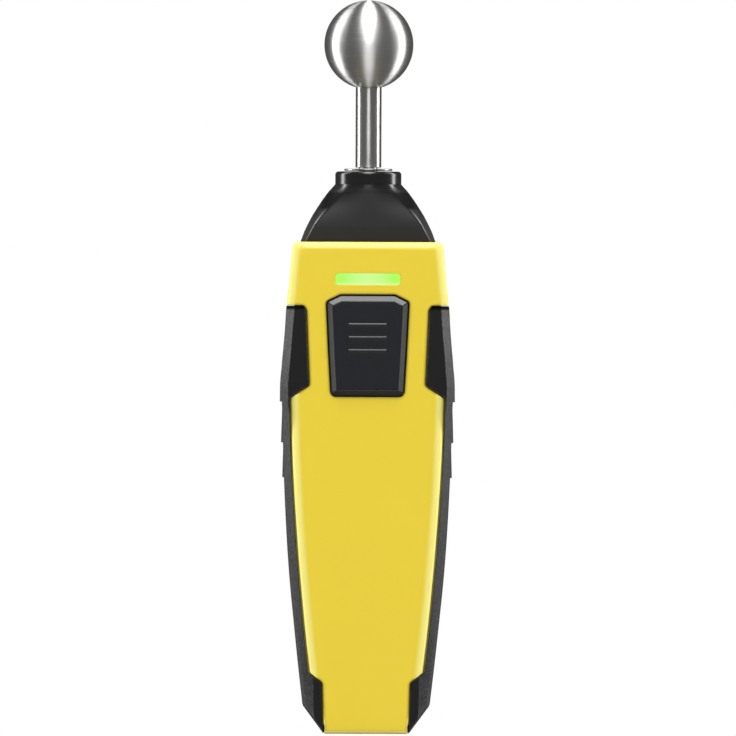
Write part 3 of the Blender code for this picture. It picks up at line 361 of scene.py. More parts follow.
def turned(profile, segments=96, axis="Z", centre=(0, 0, 0)):
    """Solid of revolution from a closed profile of (radius, height)."""
    bm = bmesh.new()
    rings = []
    for k in range(segments):
        angle = 2 * pi * k / segments
        ring = []
        for radius, h in profile:
            u, v = radius * cos(angle), radius * sin(angle)
            point = {"Z": (u, v, h), "Y": (v, h, u), "X": (h, u, v)}[axis]
            ring.append(bm.verts.new([mm(p + c) for p, c in zip(point, centre)]))
        rings.append(ring)
    n = len(profile)
    for k in range(segments):
        a, b = rings[k], rings[(k + 1) % segments]
        for i in range(n):
            j = (i + 1) % n
            i_on_axis, j_on_axis = profile[i][0] < 1e-6, profile[j][0] < 1e-6
            if i_on_axis and j_on_axis:
                continue
            if i_on_axis:
                bm.faces.new((a[i], a[j], b[j]))
            elif j_on_axis:
                bm.faces.new((a[i], a[j], b[i]))
            else:
                bm.faces.new((a[i], a[j], b[j], b[i]))
    bmesh.ops.remove_doubles(bm, verts=bm.verts, dist=1e-7)
    return bm


def cylinder(radius, h0, h1, segments, axis="Z", centre=(0, 0, 0)):
    return turned([(0, h0), (radius, h0), (radius, h1), (0, h1)], segments, axis, centre)


def posts(places, radius, y0, y1, segments):
    """Cylinders along Y at each (x, z)."""
    return join(*[cylinder(radius, y0, y1, segments, "Y", (x, 0, z)) for x, z in places])


CUT, ADD = "DIFFERENCE", "UNION"


def applied(obj):
    """Copy of the object's mesh with its modifiers applied, which are then removed."""
    bpy.context.view_layer.update()
    depsgraph = bpy.context.evaluated_depsgraph_get()
    mesh = bpy.data.meshes.new_from_object(obj.evaluated_get(depsgraph))
    obj.modifiers.clear()
    return mesh


def carve(obj, jobs):
    """Runs Booleans on obj one after another: jobs is a list of (CUT or ADD, bmesh)."""
    for operation, bm in jobs:
        tool = finish_mesh("tool", bm, None)
        boolean = obj.modifiers.new("b", "BOOLEAN")
        boolean.operation = operation
        boolean.solver = "EXACT"
        boolean.object = tool
        mesh = applied(obj)
        old = obj.data
        obj.data = mesh
        bpy.data.meshes.remove(old)
        tool_mesh = tool.data
        bpy.data.objects.remove(tool)
        bpy.data.meshes.remove(tool_mesh)


def edge_bevel(obj, width, segments, angle):
    bevel = obj.modifiers.new("edges", "BEVEL")
    bevel.width = mm(width)
    bevel.segments = segments
    bevel.limit_method = "ANGLE"
    bevel.angle_limit = radians(angle)
    return bevel


def weighted_normals(obj, **settings):
    weigh = obj.modifiers.new("normals", "WEIGHTED_NORMAL")
    for key, value in settings.items():
        setattr(weigh, key, value)


def round_edges(obj, width):
    """Rounds every edge of a carved cover or door for good, and shades the result."""
    bm = bmesh.new()
    bm.from_mesh(obj.data)
    bmesh.ops.remove_doubles(bm, verts=bm.verts, dist=4e-6)
    bmesh.ops.dissolve_degenerate(bm, edges=bm.edges, dist=2e-6)
    bm.to_mesh(obj.data)
    bm.free()
    edge_bevel(obj, width, segments=3, angle=32.0).use_clamp_overlap = True
    obj.data = applied(obj)
    shade(obj.data, 40.0)
    weighted_normals(obj, keep_sharp=True, weight=60)


# ------------------------------------------------------------------ shader tools
class Graph:
    """Node tree with short calls for the nodes the materials and the world share.

    Values may be numbers, RGB tuples or output sockets.
    """

    def __init__(self, tree):
        self.tree = tree

    def feed(self, socket, value):
        if isinstance(value, bpy.types.NodeSocket):
            self.tree.links.new(value, socket)
        elif socket.type == "RGBA":
            socket.default_value = (*value, 1.0)
        else:
            socket.default_value = value

    def feed_all(self, target, inputs):
        for name, value in inputs.items():
            self.feed(target.inputs[name.replace("_", " ")], value)

    def node(self, kind, **inputs):
        made = self.tree.nodes.new(kind)
        self.feed_all(made, inputs)
        return made

    def numbered(self, kind, values, **settings):
        """Node whose inputs are given by their index."""
        made = self.tree.nodes.new(kind)
        for key, value in settings.items():
            setattr(made, key, value)
        for index, value in values.items():
            self.feed(made.inputs[index], value)
        return made

    def split(self, vector):
        return self.node("ShaderNodeSeparateXYZ", Vector=vector).outputs

    def object_space(self):
        return self.node("ShaderNodeTexCoord").outputs["Object"]

    def position(self):
        return self.split(self.object_space())

    def noise(self, scale, detail=2.0, rough=0.5, stretch=None):
        """Noise in object space; scale is per metre, stretch scales the axes."""
        place = self.object_space()
        if stretch:
            place = self.node("ShaderNodeMapping", Vector=place, Scale=stretch).outputs["Vector"]
        return self.node("ShaderNodeTexNoise", Scale=scale, Detail=detail, Roughness=rough,
                         Vector=place).outputs["Fac"]

    def ramp(self, source, stops):
        """Colour ramp over (position, grey or RGB) stops."""
        made = self.node("ShaderNodeValToRGB", Fac=source)
        elements = made.color_ramp.elements
        while len(elements) < len(stops):
            elements.new(0.5)
        for element, (position, colour) in zip(elements, stops):
            rgb = colour if isinstance(colour, tuple) else (colour,) * 3
            element.position = position
            element.color = (*rgb, 1.0)
        return made.outputs["Color"]

    def remap(self, value, over, to=(0.0, 1.0)):
        """Clamped straight map of the range over onto the range to."""
        values = {0: value, 1: over[0], 2: over[1], 3: to[0], 4: to[1]}
        return self.numbered("ShaderNodeMapRange", values).outputs[0]

    def math(self, operation, *values):
        made = self.numbered("ShaderNodeMath", dict(enumerate(values)), operation=operation)
        return made.outputs[0]

    def times(self, first, *rest):
        for value in rest:
            first = self.math("MULTIPLY", first, value)
        return first

    def vector_math(self, operation, *values):
        return self.numbered("ShaderNodeVectorMath", dict(enumerate(values)),
                             operation=operation).outputs

    def mix(self, fac, first, second):
        """Colour that goes from first to second as fac goes from 0 to 1."""
        return self.numbered("ShaderNodeMix", {0: fac, 6: first, 7: second},
                             data_type="RGBA").outputs[2]

    def mix_float(self, fac, first, second):
        return self.numbered("ShaderNodeMix", {0: fac, 2: first, 3: second}).outputs[0]

    def mix_shader(self, fac, first, second):
        return self.numbered("ShaderNodeMixShader", {0: fac, 1: first, 2: second}).outputs[0]

    def rounded_normal(self, radius, samples):
        """Normal as if edges were rounded to radius."""
        made = self.node("ShaderNodeBevel", Radius=mm(radius))
        made.samples = samples
        return made.outputs["Normal"]


class Look(Graph):
    """Graph of a new material and its Principled shader."""

    def __init__(self, name):
        self.material = bpy.data.materials.new(name)
        self.material.use_nodes = True
        super().__init__(self.material.node_tree)
        self.bsdf = self.tree.nodes["Principled BSDF"]

    def surface(self, **inputs):
        self.feed_all(self.bsdf, inputs)

    def base_colour(self):
        return self.bsdf.inputs["Base Color"].links[0].from_socket

    def bump(self, height, depth, strength=1.0, edge_radius=0.0):
        made = self.node("ShaderNodeBump", Distance=mm(depth), Strength=strength, Height=height)
        if edge_radius:
            self.feed(made.inputs["Normal"], self.rounded_normal(edge_radius, samples=8))
        self.surface(Normal=made.outputs["Normal"])


# ------------------------------------------------------------------ plain materials
def plastic(name, colour, roughness, grain=0.12, grain_depth=0.004, drift=0.04,
            edge_radius=0.0, specular=0.5):
    """Moulded plastic: fine grain, small colour drift, roughness that varies with the grain.

    With roughness None the caller sets it.
    """
    look = Look(name)
    grained = look.noise(1000.0 / grain, detail=2.0, rough=0.6)
    broad = look.noise(60.0, detail=3.0)
    dark = tuple(c * (1 - drift) for c in colour)
    light = tuple(min(1.0, c * (1 + drift)) for c in colour)
    look.surface(Base_Color=look.ramp(broad, [(0.3, dark), (0.7, light)]),
                 Specular_IOR_Level=specular)
    if roughness is not None:
        span = (roughness - 0.05, roughness + 0.06)
        look.surface(Roughness=look.remap(grained, over=(0.3, 0.7), to=span))
    look.bump(grained, grain_depth, edge_radius=edge_radius)
    return look


def metal(name, colour, roughness, anisotropic, lines, lines_depth, drift, around):
    """Turned or drawn metal: fine lines round an axis, with drift in tone and roughness."""
    look = Look(name)
    stretch = tuple(1.0 if axis == around else 0.012 for axis in "XYZ")
    lined = look.noise(1000.0 / lines, detail=2.0, rough=0.6, stretch=stretch)
    broad = look.noise(90.0)
    lined_range = (0.25, 0.75)
    tone = look.mix(look.remap(lined, over=lined_range),
                    tuple(c * (1 - drift) for c in colour),
                    tuple(min(1.0, c * (1 + drift)) for c in colour))
    fine = look.remap(lined, over=lined_range, to=(roughness - 0.05, roughness + 0.05))
    wide = look.remap(broad, over=(0.3, 0.7), to=(-0.02, 0.02))
    look.surface(Base_Color=tone, Metallic=1.0, Roughness=look.math("ADD", fine, wide))
    if anisotropic:
        tangent = look.node("ShaderNodeTangent")
        tangent.direction_type = "RADIAL"
        tangent.axis = around
        look.surface(Anisotropic=anisotropic, Anisotropic_Rotation=0.25,
                     Tangent=tangent.outputs["Tangent"])
    look.bump(lined, lines_depth)
    return look


# name, colour, roughness, grain size, grain depth, colour drift, edge radius, specular level
PLASTICS = (
    ("rear_moulding", (0.020, 0.020, 0.021), 0.5, 0.30, 0.012, 0.12, 0.25, 0.45),
    ("key_moulding", (0.0075, 0.0085, 0.0115), 0.33, 0.10, 0.003, 0.08, 0.12, 0.55),
    ("natural_nylon", (0.72, 0.70, 0.62), 0.45, 0.2, 0.003, 0.03),
    ("seal_nitrile", (0.012, 0.012, 0.012), 0.55, 0.2, 0.004, 0.1),
    ("chip_epoxy", (0.02, 0.02, 0.021), 0.5, 0.08, 0.004, 0.1),
    ("ceramic_body", (0.42, 0.27, 0.13), 0.45, 0.2, 0.003, 0.08),
    ("red_insulation", (0.5, 0.015, 0.012), 0.35, 0.3, 0.003, 0.05),
    ("black_insulation", (0.015, 0.015, 0.015), 0.35, 0.3, 0.003, 0.05),
    ("led_resin", (0.85, 0.86, 0.78), 0.2, 0.3, 0.001, 0.02),
)
# name, colour, roughness, anisotropy, line width, line depth, tone drift, axis of the lines
METALS = (
    ("brushed_stainless", (0.71, 0.705, 0.69), 0.40, 0.93, 0.11, 0.0016, 0.16, "Z"),
    ("drawn_stainless", (0.66, 0.655, 0.64), 0.33, 0.93, 0.3, 0.0001, 0.02, "Z"),
    ("turned_disc", (0.50, 0.495, 0.48), 0.38, 0.0, 0.12, 0.0003, 0.03, "Z"),
    ("nickel_spring", (0.66, 0.63, 0.56), 0.28, 0.0, 0.2, 0.001, 0.05, "Z"),
    ("tinned_sheet", (0.68, 0.68, 0.67), 0.33, 0.0, 0.25, 0.0015, 0.05, "X"),
    ("black_zinc", (0.09, 0.09, 0.10), 0.38, 0.0, 0.2, 0.002, 0.12, "Z"),
)


# ------------------------------------------------------------------ special materials
def yellow_material():
    """Satin yellow, with painted shade as a dim olive rim where the flat face falls into openings
    and beside the key, and painted highlights on its rounded edges.
    """
    painted_shade_olive, painted_highlight_yellow = (0.20, 0.135, 0.010), (0.86, 0.80, 0.24)
    look = plastic("yellow_moulding", (0.84, 0.64, 0.036), roughness=0.38, grain=0.10,
                   grain_depth=0.0024, drift=0.010, edge_radius=0.45, specular=0.42)
    own = look.base_colour()
    geometry = look.node("ShaderNodeNewGeometry").outputs
    # painted shade: a soft olive halo where the flat face rounds into openings, found from a
    # bevelled normal
    soft = look.rounded_normal(1.25, samples=10)
    agreement = look.vector_math("DOT_PRODUCT", soft, geometry["True Normal"])["Value"]
    rim = look.remap(agreement, over=(0.999, 0.86))
    forward = look.times(look.split(geometry["True Normal"])["Y"], -1.0)
    flat = look.remap(forward, over=(0.97, 0.995))
    below_bar = look.remap(look.position()["Z"], over=(mm(112.6), mm(113.2)), to=(1.0, 0.0))
    # painted shade: ambient occlusion darkens the flat face beside raised parts such as the key
    occlusion = look.node("ShaderNodeAmbientOcclusion", Distance=mm(2.2))
    occlusion.samples = 8
    shadow = look.remap(occlusion.outputs["AO"], over=(0.93, 0.55), to=(0.0, 0.6))
    painted_shade = look.math("MAXIMUM", look.times(rim, flat, below_bar), look.times(shadow, flat))
    painted_shade = look.times(painted_shade, 0.70)
    # painted highlight: rounded edges that turn away from the front are painted paler
    facing = look.times(look.split(geometry["Normal"])["Y"], -1.0)
    edge = look.times(look.remap(facing, over=(0.995, 0.955), to=(0.0, 0.75)),
                      look.remap(facing, over=(0.15, 0.40)))
    pale = look.mix(edge, own, painted_highlight_yellow)
    look.surface(Base_Color=look.mix(painted_shade, pale, painted_shade_olive))
    return look


def grip_material():
    """Soft grip, grained on its sides and smooth facing front or back. The sides are greyer and the
    fronts darker, partly from the two finishes and partly as painted light; the sides are also
    painted lighter towards the top.
    """
    grain_dark, grain_light = (0.018, 0.0182, 0.0182), (0.072, 0.072, 0.071)
    smooth_dark, smooth_light = (0.0055, 0.0055, 0.0062), (0.0075, 0.0075, 0.0082)
    end_black = (0.004, 0.004, 0.004)
    # (height as a share of the grip, lightness factor) of the grained parts: painted light, lighter
    # towards the top
    painted_light_by_height = [(0.0, 0.50), (0.06, 0.58), (0.16, 0.60), (0.45, 0.58), (0.78, 1.0),
                  (0.93, 1.55), (1.0, 1.75)]
    look = Look("grip_soft_touch")
    grain = look.noise(1000.0 / 0.42, detail=3.0, rough=0.65)
    fine = look.noise(1000.0 / 0.11)
    geometry = look.node("ShaderNodeNewGeometry").outputs
    facing = look.math("ABSOLUTE", look.split(geometry["True Normal"])["Y"])
    smooth = look.remap(facing, over=(0.93, 0.985))
    height = look.position()["Z"]
    # painted light: the grained colour is scaled by height
    painted_lift = look.ramp(look.remap(height, over=(0.0, mm(109))), painted_light_by_height)
    grained = look.mix(look.remap(grain, over=(0.40, 0.60)), grain_dark, grain_light)
    tinted = look.vector_math("MULTIPLY", grained, painted_lift)["Vector"]
    plain = look.mix(look.remap(fine, over=(0.3, 0.7)), smooth_dark, smooth_light)
    upper_end = look.remap(height, over=(mm(107.9), mm(108.25)))
    look.surface(
        Base_Color=look.mix(upper_end, look.mix(smooth, tinted, plain), end_black),
        Roughness=look.remap(smooth, over=(0.0, 1.0), to=(0.62, 0.42)),
        Specular_IOR_Level=look.remap(upper_end, over=(0.0, 1.0), to=(0.40, 0.05)))
    relief = look.times(grain, look.remap(smooth, over=(0.0, 1.0), to=(1.0, 0.05)))
    look.bump(relief, 0.045, strength=0.9, edge_radius=0.22)
    return look


def nose_material():
    """Satin black with painted light: painted shade on the upper flanks, a painted grey sheen on the
    slanted sides and a painted highlight line along the long corners.
    """
    painted_shade_black, collar_black = (0.007, 0.007, 0.007), (0.006, 0.006, 0.006)
    painted_sheen_grey, painted_highlight_grey = (0.027, 0.027, 0.027), (0.55, 0.55, 0.53)
    look = plastic("nose_moulding_black", (0.021, 0.021, 0.0215), roughness=None, grain=0.11,
                   grain_depth=0.003, drift=0.10)
    colour = look.base_colour()
    geometry = look.node("ShaderNodeNewGeometry").outputs
    normal = look.split(geometry["Normal"])
    # angle of the surface: 0 facing front or back, 90 degrees facing sideways
    turn = look.math("ARCTAN2", look.math("ABSOLUTE", normal["X"]),
                     look.math("ABSOLUTE", normal["Y"]))
    height = look.position()["Z"]

    def by_angle(start, end, to=(0.0, 1.0)):
        return look.remap(turn, over=(radians(start), radians(end)), to=to)

    def by_height(start, end, to=(0.0, 1.0)):
        return look.remap(height, over=(mm(start), mm(end)), to=to)

    fading = (1.0, 0.0)
    # painted shade: above the base, faces turned more than a little from the front are painted
    # darker and less glossy
    upper = look.times(by_angle(5, 28), by_height(127.5, 132.5))
    collar = by_height(137.5, 139.5)
    # painted highlight: a light line along the long corners of the slanted sides
    line = look.times(by_angle(24, 44), by_angle(56, 74, to=fading),
                      by_height(128.0, 134.0, to=fading))
    # painted reflection: the sideways faces are painted greyer, as if catching the side lights
    sides = look.times(by_angle(66, 76), by_height(131.0, 138.0, to=fading))
    colour = look.mix(upper, colour, painted_shade_black)
    colour = look.mix(collar, colour, collar_black)
    colour = look.mix(sides, colour, painted_sheen_grey)
    colour = look.mix(look.times(line, 0.85), colour, painted_highlight_grey)
    gloss = look.times(look.math("SUBTRACT", 1.0, look.times(upper, 0.8)), 0.30)
    look.surface(
        Base_Color=colour,
        Roughness=look.remap(collar, over=(0.0, 1.0), to=(0.46, 0.20)),
        Specular_IOR_Level=look.math("MAXIMUM", gloss, look.times(collar, 0.85)))
    return look


def window_material():
    """Glowing green bar, yellower towards its ends and paler along its lower edge."""
    # (distance from the middle as a share of half the bar, colour)
    glow = [(0.0, (0.60, 1.0, 0.30)), (0.35, (0.57, 1.0, 0.26)),
            (0.8, (0.42, 0.985, 0.115)), (1.0, (0.45, 0.98, 0.105))]
    lower_glow = (0.74, 1.0, 0.47)
    look = Look("light_bar")
    position = look.position()
    across = look.remap(look.math("ABSOLUTE", position["X"]), over=(0.0, mm(8.3)))
    lower = look.remap(position["Z"], over=(mm(115.2), mm(114.35)), to=(0.0, 0.65))
    soft = look.noise(900.0)
    look.surface(
        Base_Color=(0.02, 0.05, 0.012), Roughness=0.3, Specular_IOR_Level=0.3,
        Emission_Color=look.mix(lower, look.ramp(across, glow), lower_glow),
        Emission_Strength=look.remap(soft, over=(0.3, 0.7), to=(0.95, 1.0)))
    return look


def board_material():
    """Green solder mask in blocks with slightly lighter bands between them."""
    look = Look("solder_mask")
    mapping = look.node("ShaderNodeMapping", Vector=look.object_space(),
                        Rotation=(radians(90), 0, 0))
    brick = look.node("ShaderNodeTexBrick", Vector=mapping.outputs["Vector"], Scale=420.0,
                      Mortar_Size=0.05, Color1=(0.010, 0.10, 0.035),
                      Color2=(0.012, 0.13, 0.045), Mortar=(0.03, 0.22, 0.08))
    look.surface(Base_Color=brick.outputs["Color"], Roughness=0.35)
    look.bump(brick.outputs["Fac"], 0.02)
    return look


def cell_material(name, low, high):
    """Dark film sleeve with a copper-coloured band; low and high are the shares at its ends."""
    # (share of the cell's length from its negative end, colour)
    bands = [(0.0, (0.55, 0.55, 0.54)), (0.018, (0.02, 0.02, 0.022)),
             (0.66, (0.022, 0.022, 0.024)), (0.665, (0.62, 0.33, 0.06)),
             (0.955, (0.62, 0.33, 0.06)), (0.97, (0.6, 0.6, 0.58))]
    look = Look(name)
    along = look.remap(look.position()["Z"], over=(mm(CELL_BOTTOM), mm(CELL_TOP)),
                       to=(low, high))
    look.surface(Base_Color=look.ramp(along, bands), Roughness=0.28, Metallic=0.45)
    look.bump(look.noise(700.0), 0.01)
    return look


LOOKS = [yellow_material()]
LOOKS += [plastic(*row) for row in PLASTICS]
LOOKS += [metal(*row) for row in METALS]
LOOKS += [grip_material(), window_material(), board_material(), nose_material(),
          cell_material("cell_sleeve", low=0.0, high=1.0),
          cell_material("cell_sleeve_turned", low=1.0, high=0.0)]
MATERIALS = {look.material.name: look.material for look in LOOKS}


def dress(obj, material):
    obj.data.materials.clear()
    obj.data.materials.append(material)
    for polygon in obj.data.polygons:
        polygon.material_index = 0


def place(obj, material, body, cad_node, slot):
    """Dresses a piece, ties it to its body and hides the CAD node it stands for; slot is not used.
    """
    dress(obj, MATERIALS[material])
    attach(obj, body)
    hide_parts(cad_node)


# ------------------------------------------------------------------ cover outlines
LOWER_Z = merged(steps(0.0, 1.757, 0.5) + steps(1.757, 6.08, 0.6) + steps(6.08, 15.6, 0.8)
                 + steps(15.6, 85.6, 1.6) + steps(85.6, 109.12, 1.4))
UPPER_Z = merged(steps(109.15, 121.0, 1.1) + [122.0, 122.8])


def cover_outline(half_width, side_in=0.0, top_in=0.0, bottom_in=0.0):
    """Outline of a cover, pulled in at its sides, top and bottom; the point count is fixed."""
    top = HOUSING_TOP - top_in
    lifted = [z + bottom_in * max(0.0, 1 - z / 6.0) for z in LOWER_Z]
    right = [(half_width(z) - side_in * min(1.0, (half_width(z) - 10.35) / 3.0), z)
             for z in lifted]
    right += [(cover_half(z) - side_in, z) for z in UPPER_Z if z < top - TOP_CORNER - 0.05]
    while len(right) < len(LOWER_Z) + len(UPPER_Z):
        right.append(right[-1])
    corner_x = cover_half(top - TOP_CORNER) - side_in
    for k in range(9):
        angle = radians(90 * k / 8)
        right.append((corner_x - TOP_CORNER + TOP_CORNER * cos(angle),
                      top - TOP_CORNER + TOP_CORNER * sin(angle)))
    return right + [(-x, z) for x, z in reversed(right)]


def rounded_face(face_y, depth, side, top, bottom, count, side_start=0.0):
    """Levels that round a cover over to its face; depth is signed from the face to the sides."""
    levels = []
    for k in range(count + 1):
        angle = radians(90 * k / count)
        share = 1 - cos(angle)
        outline = cover_outline(rim_outline_half, side_start + side * share, top * share,
                                bottom * share)
        levels.append(at_y(outline, face_y + depth * (1 - sin(angle))))
    return levels


def nose_ring(z, grow=0.0, scale=1.0, z_at=None):
    """Six-sided section with soft corners at the base that turns into a circle at the collar.

    The section is that of height z, laid at z_at if given.
    """
    t = max(0.0, min(1.0, (z - HOUSING_TOP) / (COLLAR_BASE - HOUSING_TOP)))
    side, edge, depth = (lerp(table, z) for table in (NOSE_SIDE, NOSE_EDGE, NOSE_DEPTH))
    edge_y = depth - lerp(NOSE_EDGE_DROP, z)
    slant = atan2(side - edge, edge_y)
    distance = side * cos(slant)
    # direction and distance of the six faces
    faces = [(-pi / 2, depth), (pi / 2, depth), (-slant, distance), (slant, distance),
             (pi - slant, distance), (pi + slant, distance)]
    sharpness = 70.0 * (1 - t) ** 1.7 + 9.0
    blend = smoothstep(0.30, 1.0, t)

    def hexagon(angle):
        return sum(max(cos(angle - normal), 0.0) ** sharpness / d**sharpness
                   for normal, d in faces) ** (-1 / sharpness)

    # the points bunch up at the four long corners, so each corner is one clean line
    corner = atan2(depth, edge)
    angles = []
    for start, end, count in (
            (0.0, corner, 12), (corner, pi - corner, 32), (pi - corner, pi, 12),
            (pi, pi + corner, 12), (pi + corner, 2 * pi - corner, 32),
            (2 * pi - corner, 2 * pi, 12)):
        for k in range(count):
            u = k / count
            angles.append(start + (end - start) * (0.35 * u + 0.65 * (0.5 - 0.5 * cos(pi * u))))
    fit_x, fit_y = side / hexagon(0.0), depth / hexagon(pi / 2)
    grow_x, grow_y = 1 + grow / NOSE_SIDE[0][1], 1 + grow / NOSE_DEPTH[0][1]
    ring_z = z if z_at is None else z_at
    ring = []
    for angle in angles:
        cos2 = cos(angle) ** 2
        oval = 1 / sqrt(cos2 / side**2 + (1 - cos2) / depth**2)
        fitted = hexagon(angle) * (fit_x * cos2 + fit_y * (1 - cos2))
        radius = fitted * (1 - blend) + oval * blend
        ring.append((radius * cos(angle) * scale * grow_x,
                     radius * sin(angle) * scale * grow_y, ring_z))
    return ring


def nose_opening():
    return loft([nose_ring(HOUSING_TOP, grow=0.3, z_at=z) for z in (120.0, 127.0)])


# ------------------------------------------------------------------ insides of the covers
def upper_inside(z):
    return (z, cover_half(z) - WALL)


# (z, half width) of the cavities
SIDE_STATIONS = (7.0, 10.0, 15.6, 26, 38, 50, 62, 74, 85.6, 94, 108.4)
TOP_WIDTHS = [upper_inside(z) for z in (109.9, 114.0, 117.0, 121.0)]
DEEP_WIDTHS = ([(1.9, 8.8), (4.0, 10.1)] + [(z, wall_half(z) - WALL) for z in SIDE_STATIONS]
               + TOP_WIDTHS)
FRONT_WIDTHS = ([(1.9, 8.8), (15.8, 9.4)]
                + [(z, rim_half(z) - FACE_WALL) for z in (18.4, 26, 38, 50, 62, 74, 82.0)]
                + [(84.2, 13.2), (109.0, 13.6)] + TOP_WIDTHS)
BACK_WIDTHS = ([(1.9, 8.2), (4.0, 9.4)]
               + [(z, rim_half(z) - BACK_INSET - WALL) for z in SIDE_STATIONS]
               + [(z, x - BACK_INSET) for z, x in TOP_WIDTHS])
TONGUE_WIDTHS = ([(108.6, wall_half(108.4) - WALL + 0.25)] + TOP_WIDTHS[:3]
                 + [upper_inside(119.2)])


def cavity(y0, y1, widths):
    return prism_y([(x, z) for z, x in widths] + [(-x, z) for z, x in reversed(widths)], y0, y1)


def tongues(near, y0, y1, far=0.7):
    """Strips along the insides of the upper side walls, closing the view through the joint."""
    return join(*[prism_y([(side * (x - near), z) for z, x in TONGUE_WIDTHS]
                          + [(side * (x - far), z) for z, x in reversed(TONGUE_WIDTHS)], y0, y1)
                  for side in (-1, 1)])


def key_radii(lower, upper):
    """Corner radii of the key; the blunt corners halfway up stay wide."""
    return [lower] * 4 + [6.0] + [upper] * 4 + [6.0]


KEY_SOFT = fillet(KEY_OUTLINE, key_radii(0.8, 0.7))

# recesses in the front cover for the grips' heads (cheeks) and feet (pads), (x, z)
CHEEK = fillet([(14.6, 88.65), (15.43, 107.95), (16.3, 109.15), (30.0, 109.15), (30.0, 84.1),
                (21.5, 84.1)], [1.2, 0.9, 0.9, 0.1, 0.1, 0.1], 7)
PAD = fillet([(10.65, -1.0), (11.05, 13.05), (15.6, 16.55), (30.0, 16.55), (30.0, -1.0)],
             [0.1, 0.9, 0.1, 0.1, 0.1], 7)


# ------------------------------------------------------------------ covers and battery door
def build_front_cover():
    wall = cover_outline(wall_half)
    levels = [at_y(wall, PARTING_Y), at_y(wall, -9.1), at_y(cover_outline(rim_outline_half), -9.4)]
    levels += rounded_face(FRONT_Y, depth=1.7, side=3.0, top=2.2, bottom=0.9, count=12)
    cover = finish_mesh("yellow_front_cover", loft(levels))
    inside_y = FRONT_Y + WALL
    bar_opening = rounded_rect(BAR_HALF[0] + BAR_CLEARANCE, BAR_HALF[1] + BAR_CLEARANCE, 0.8,
                               BAR_Z)
    carve(cover, [
        (CUT, cavity(inside_y, -7.9, FRONT_WIDTHS)),
        (CUT, cavity(-8.4, PARTING_Y + 1, DEEP_WIDTHS)),
        (CUT, nose_opening()),
        *[(CUT, prism_y(mirrored(recess, side), FRONT_Y - 1.5, -10.4))
          for recess in (CHEEK, PAD) for side in (1, -1)],
        (CUT, prism_y(inset(KEY_SOFT, -0.35), FRONT_Y - 1, inside_y + 1)),
        (CUT, prism_y(bar_opening, FRONT_Y - 1, inside_y + 1)),
        # bosses for the housing screws and the board screws, each with its pilot hole
        (ADD, posts(HOUSING_SCREWS, 2.1, inside_y - 0.4, PARTING_Y - 0.2, 32)),
        (CUT, posts(HOUSING_SCREWS, 1.0, -8.0, PARTING_Y + 1, 24)),
        (ADD, posts(BOARD_SCREWS, 2.0, inside_y - 0.4, -5.5, 32)),
        (CUT, posts(BOARD_SCREWS, 0.7, -9.0, -4.2, 20)),
    ])
    round_edges(cover, 0.22)
    place(cover, "yellow_moulding", "housing", "front_cover", "yellow_plastic")


def build_rear_cover():
    wall = cover_outline(wall_half)
    levels = [at_y(wall, PARTING_Y + GAP), at_y(wall, 7.9),
              at_y(cover_outline(rim_outline_half, BACK_INSET), 8.25)]
    levels += rounded_face(BACK_Y, depth=-2.0, side=2.0, top=2.0, bottom=0.8, count=8,
                           side_start=BACK_INSET)
    cover = finish_mesh("rear_cover_moulding", loft(levels))
    door_opening = rounded_rect(DOOR_HALF[0] + GAP, DOOR_HALF[1] + GAP, 1.3, DOOR_Z)
    # (radius, x) of the rounded thumb scoop above the door
    scoop = [(0, -5.0), (5.4, -5.0), (6.0, -4.4), (6.0, 4.4), (5.4, 5.0), (0, 5.0)]
    carve(cover, [
        (CUT, cavity(PARTING_Y - 1, 7.4, DEEP_WIDTHS)),
        (CUT, cavity(7.0, BACK_Y - WALL, BACK_WIDTHS)),
        (CUT, nose_opening()),
        # battery box, its flange, its inside and the door opening
        (ADD, box((-12.2, 12.2), (-2.3, 11.2), (12.0, 69.5))),
        (ADD, box((-12.9, 12.9), (8.7, 11.3), (11.8, 70.0))),
        (CUT, box((-11.0, 11.0), (-1.0, BACK_Y + 1), (13.6, 66.2))),
        (CUT, prism_y(door_opening, 10.3, BACK_Y + 1)),
        # slots for the door's hooks
        (CUT, box_pair((3.7, 7.3), (8.6, 11.5), (10.9, 14.0))),
        (CUT, turned(scoop, 96, "X", (0, BACK_Y + 4.7, 70.2))),
        # screw posts with head and shank holes
        (ADD, posts(HOUSING_SCREWS, 3.4, PARTING_Y + GAP + 0.25, BACK_Y - 0.6, 40)),
        (CUT, posts(HOUSING_SCREWS, 2.8, 6.2, BACK_Y + 1, 40)),
        (CUT, posts(HOUSING_SCREWS, 1.6, PARTING_Y - 1, 7.0, 32)),
        # two slots through the top wall of the battery box
        (CUT, box_pair((3.8, 7.2), (0.6, 3.2), (65.0, 71.0))),
        (ADD, tongues(near=-0.3, y0=1.75, y1=2.9)),
        (ADD, tongues(near=0.1, y0=-0.5, y1=2.2)),
    ])
    round_edges(cover, 0.2)
    place(cover, "rear_moulding", "housing", "rear_cover", "black_plastic")


def build_door():
    """Battery door with two hooks, a hollow inner side and five thumb grooves."""
    groove_pitch, groove_height, groove_low = 2.0, 1.0, 63.6
    door = finish_mesh("battery_door_moulding",
                       prism_y(rounded_rect(*DOOR_HALF, 1.1, DOOR_Z), 10.6, BACK_Y))
    grooves = []
    for k in range(5):
        half = 5.2 - 0.5 * k
        low = groove_low - groove_pitch * k
        grooves.append(box((-half, half), (BACK_Y - 0.45, BACK_Y + 1),
                           (low, low + groove_height)))
    carve(door, [
        (ADD, box_pair((4.0, 7.0), (10.35, 11.2), (12.05, 15.0))),
        (CUT, box((-10.4, 10.4), (9.6, 11.3), (16.5, 64.0))),
        (CUT, join(*grooves)),
    ])
    round_edges(door, 0.16)
    place(door, "rear_moulding", "door", "battery_door", "black_plastic")


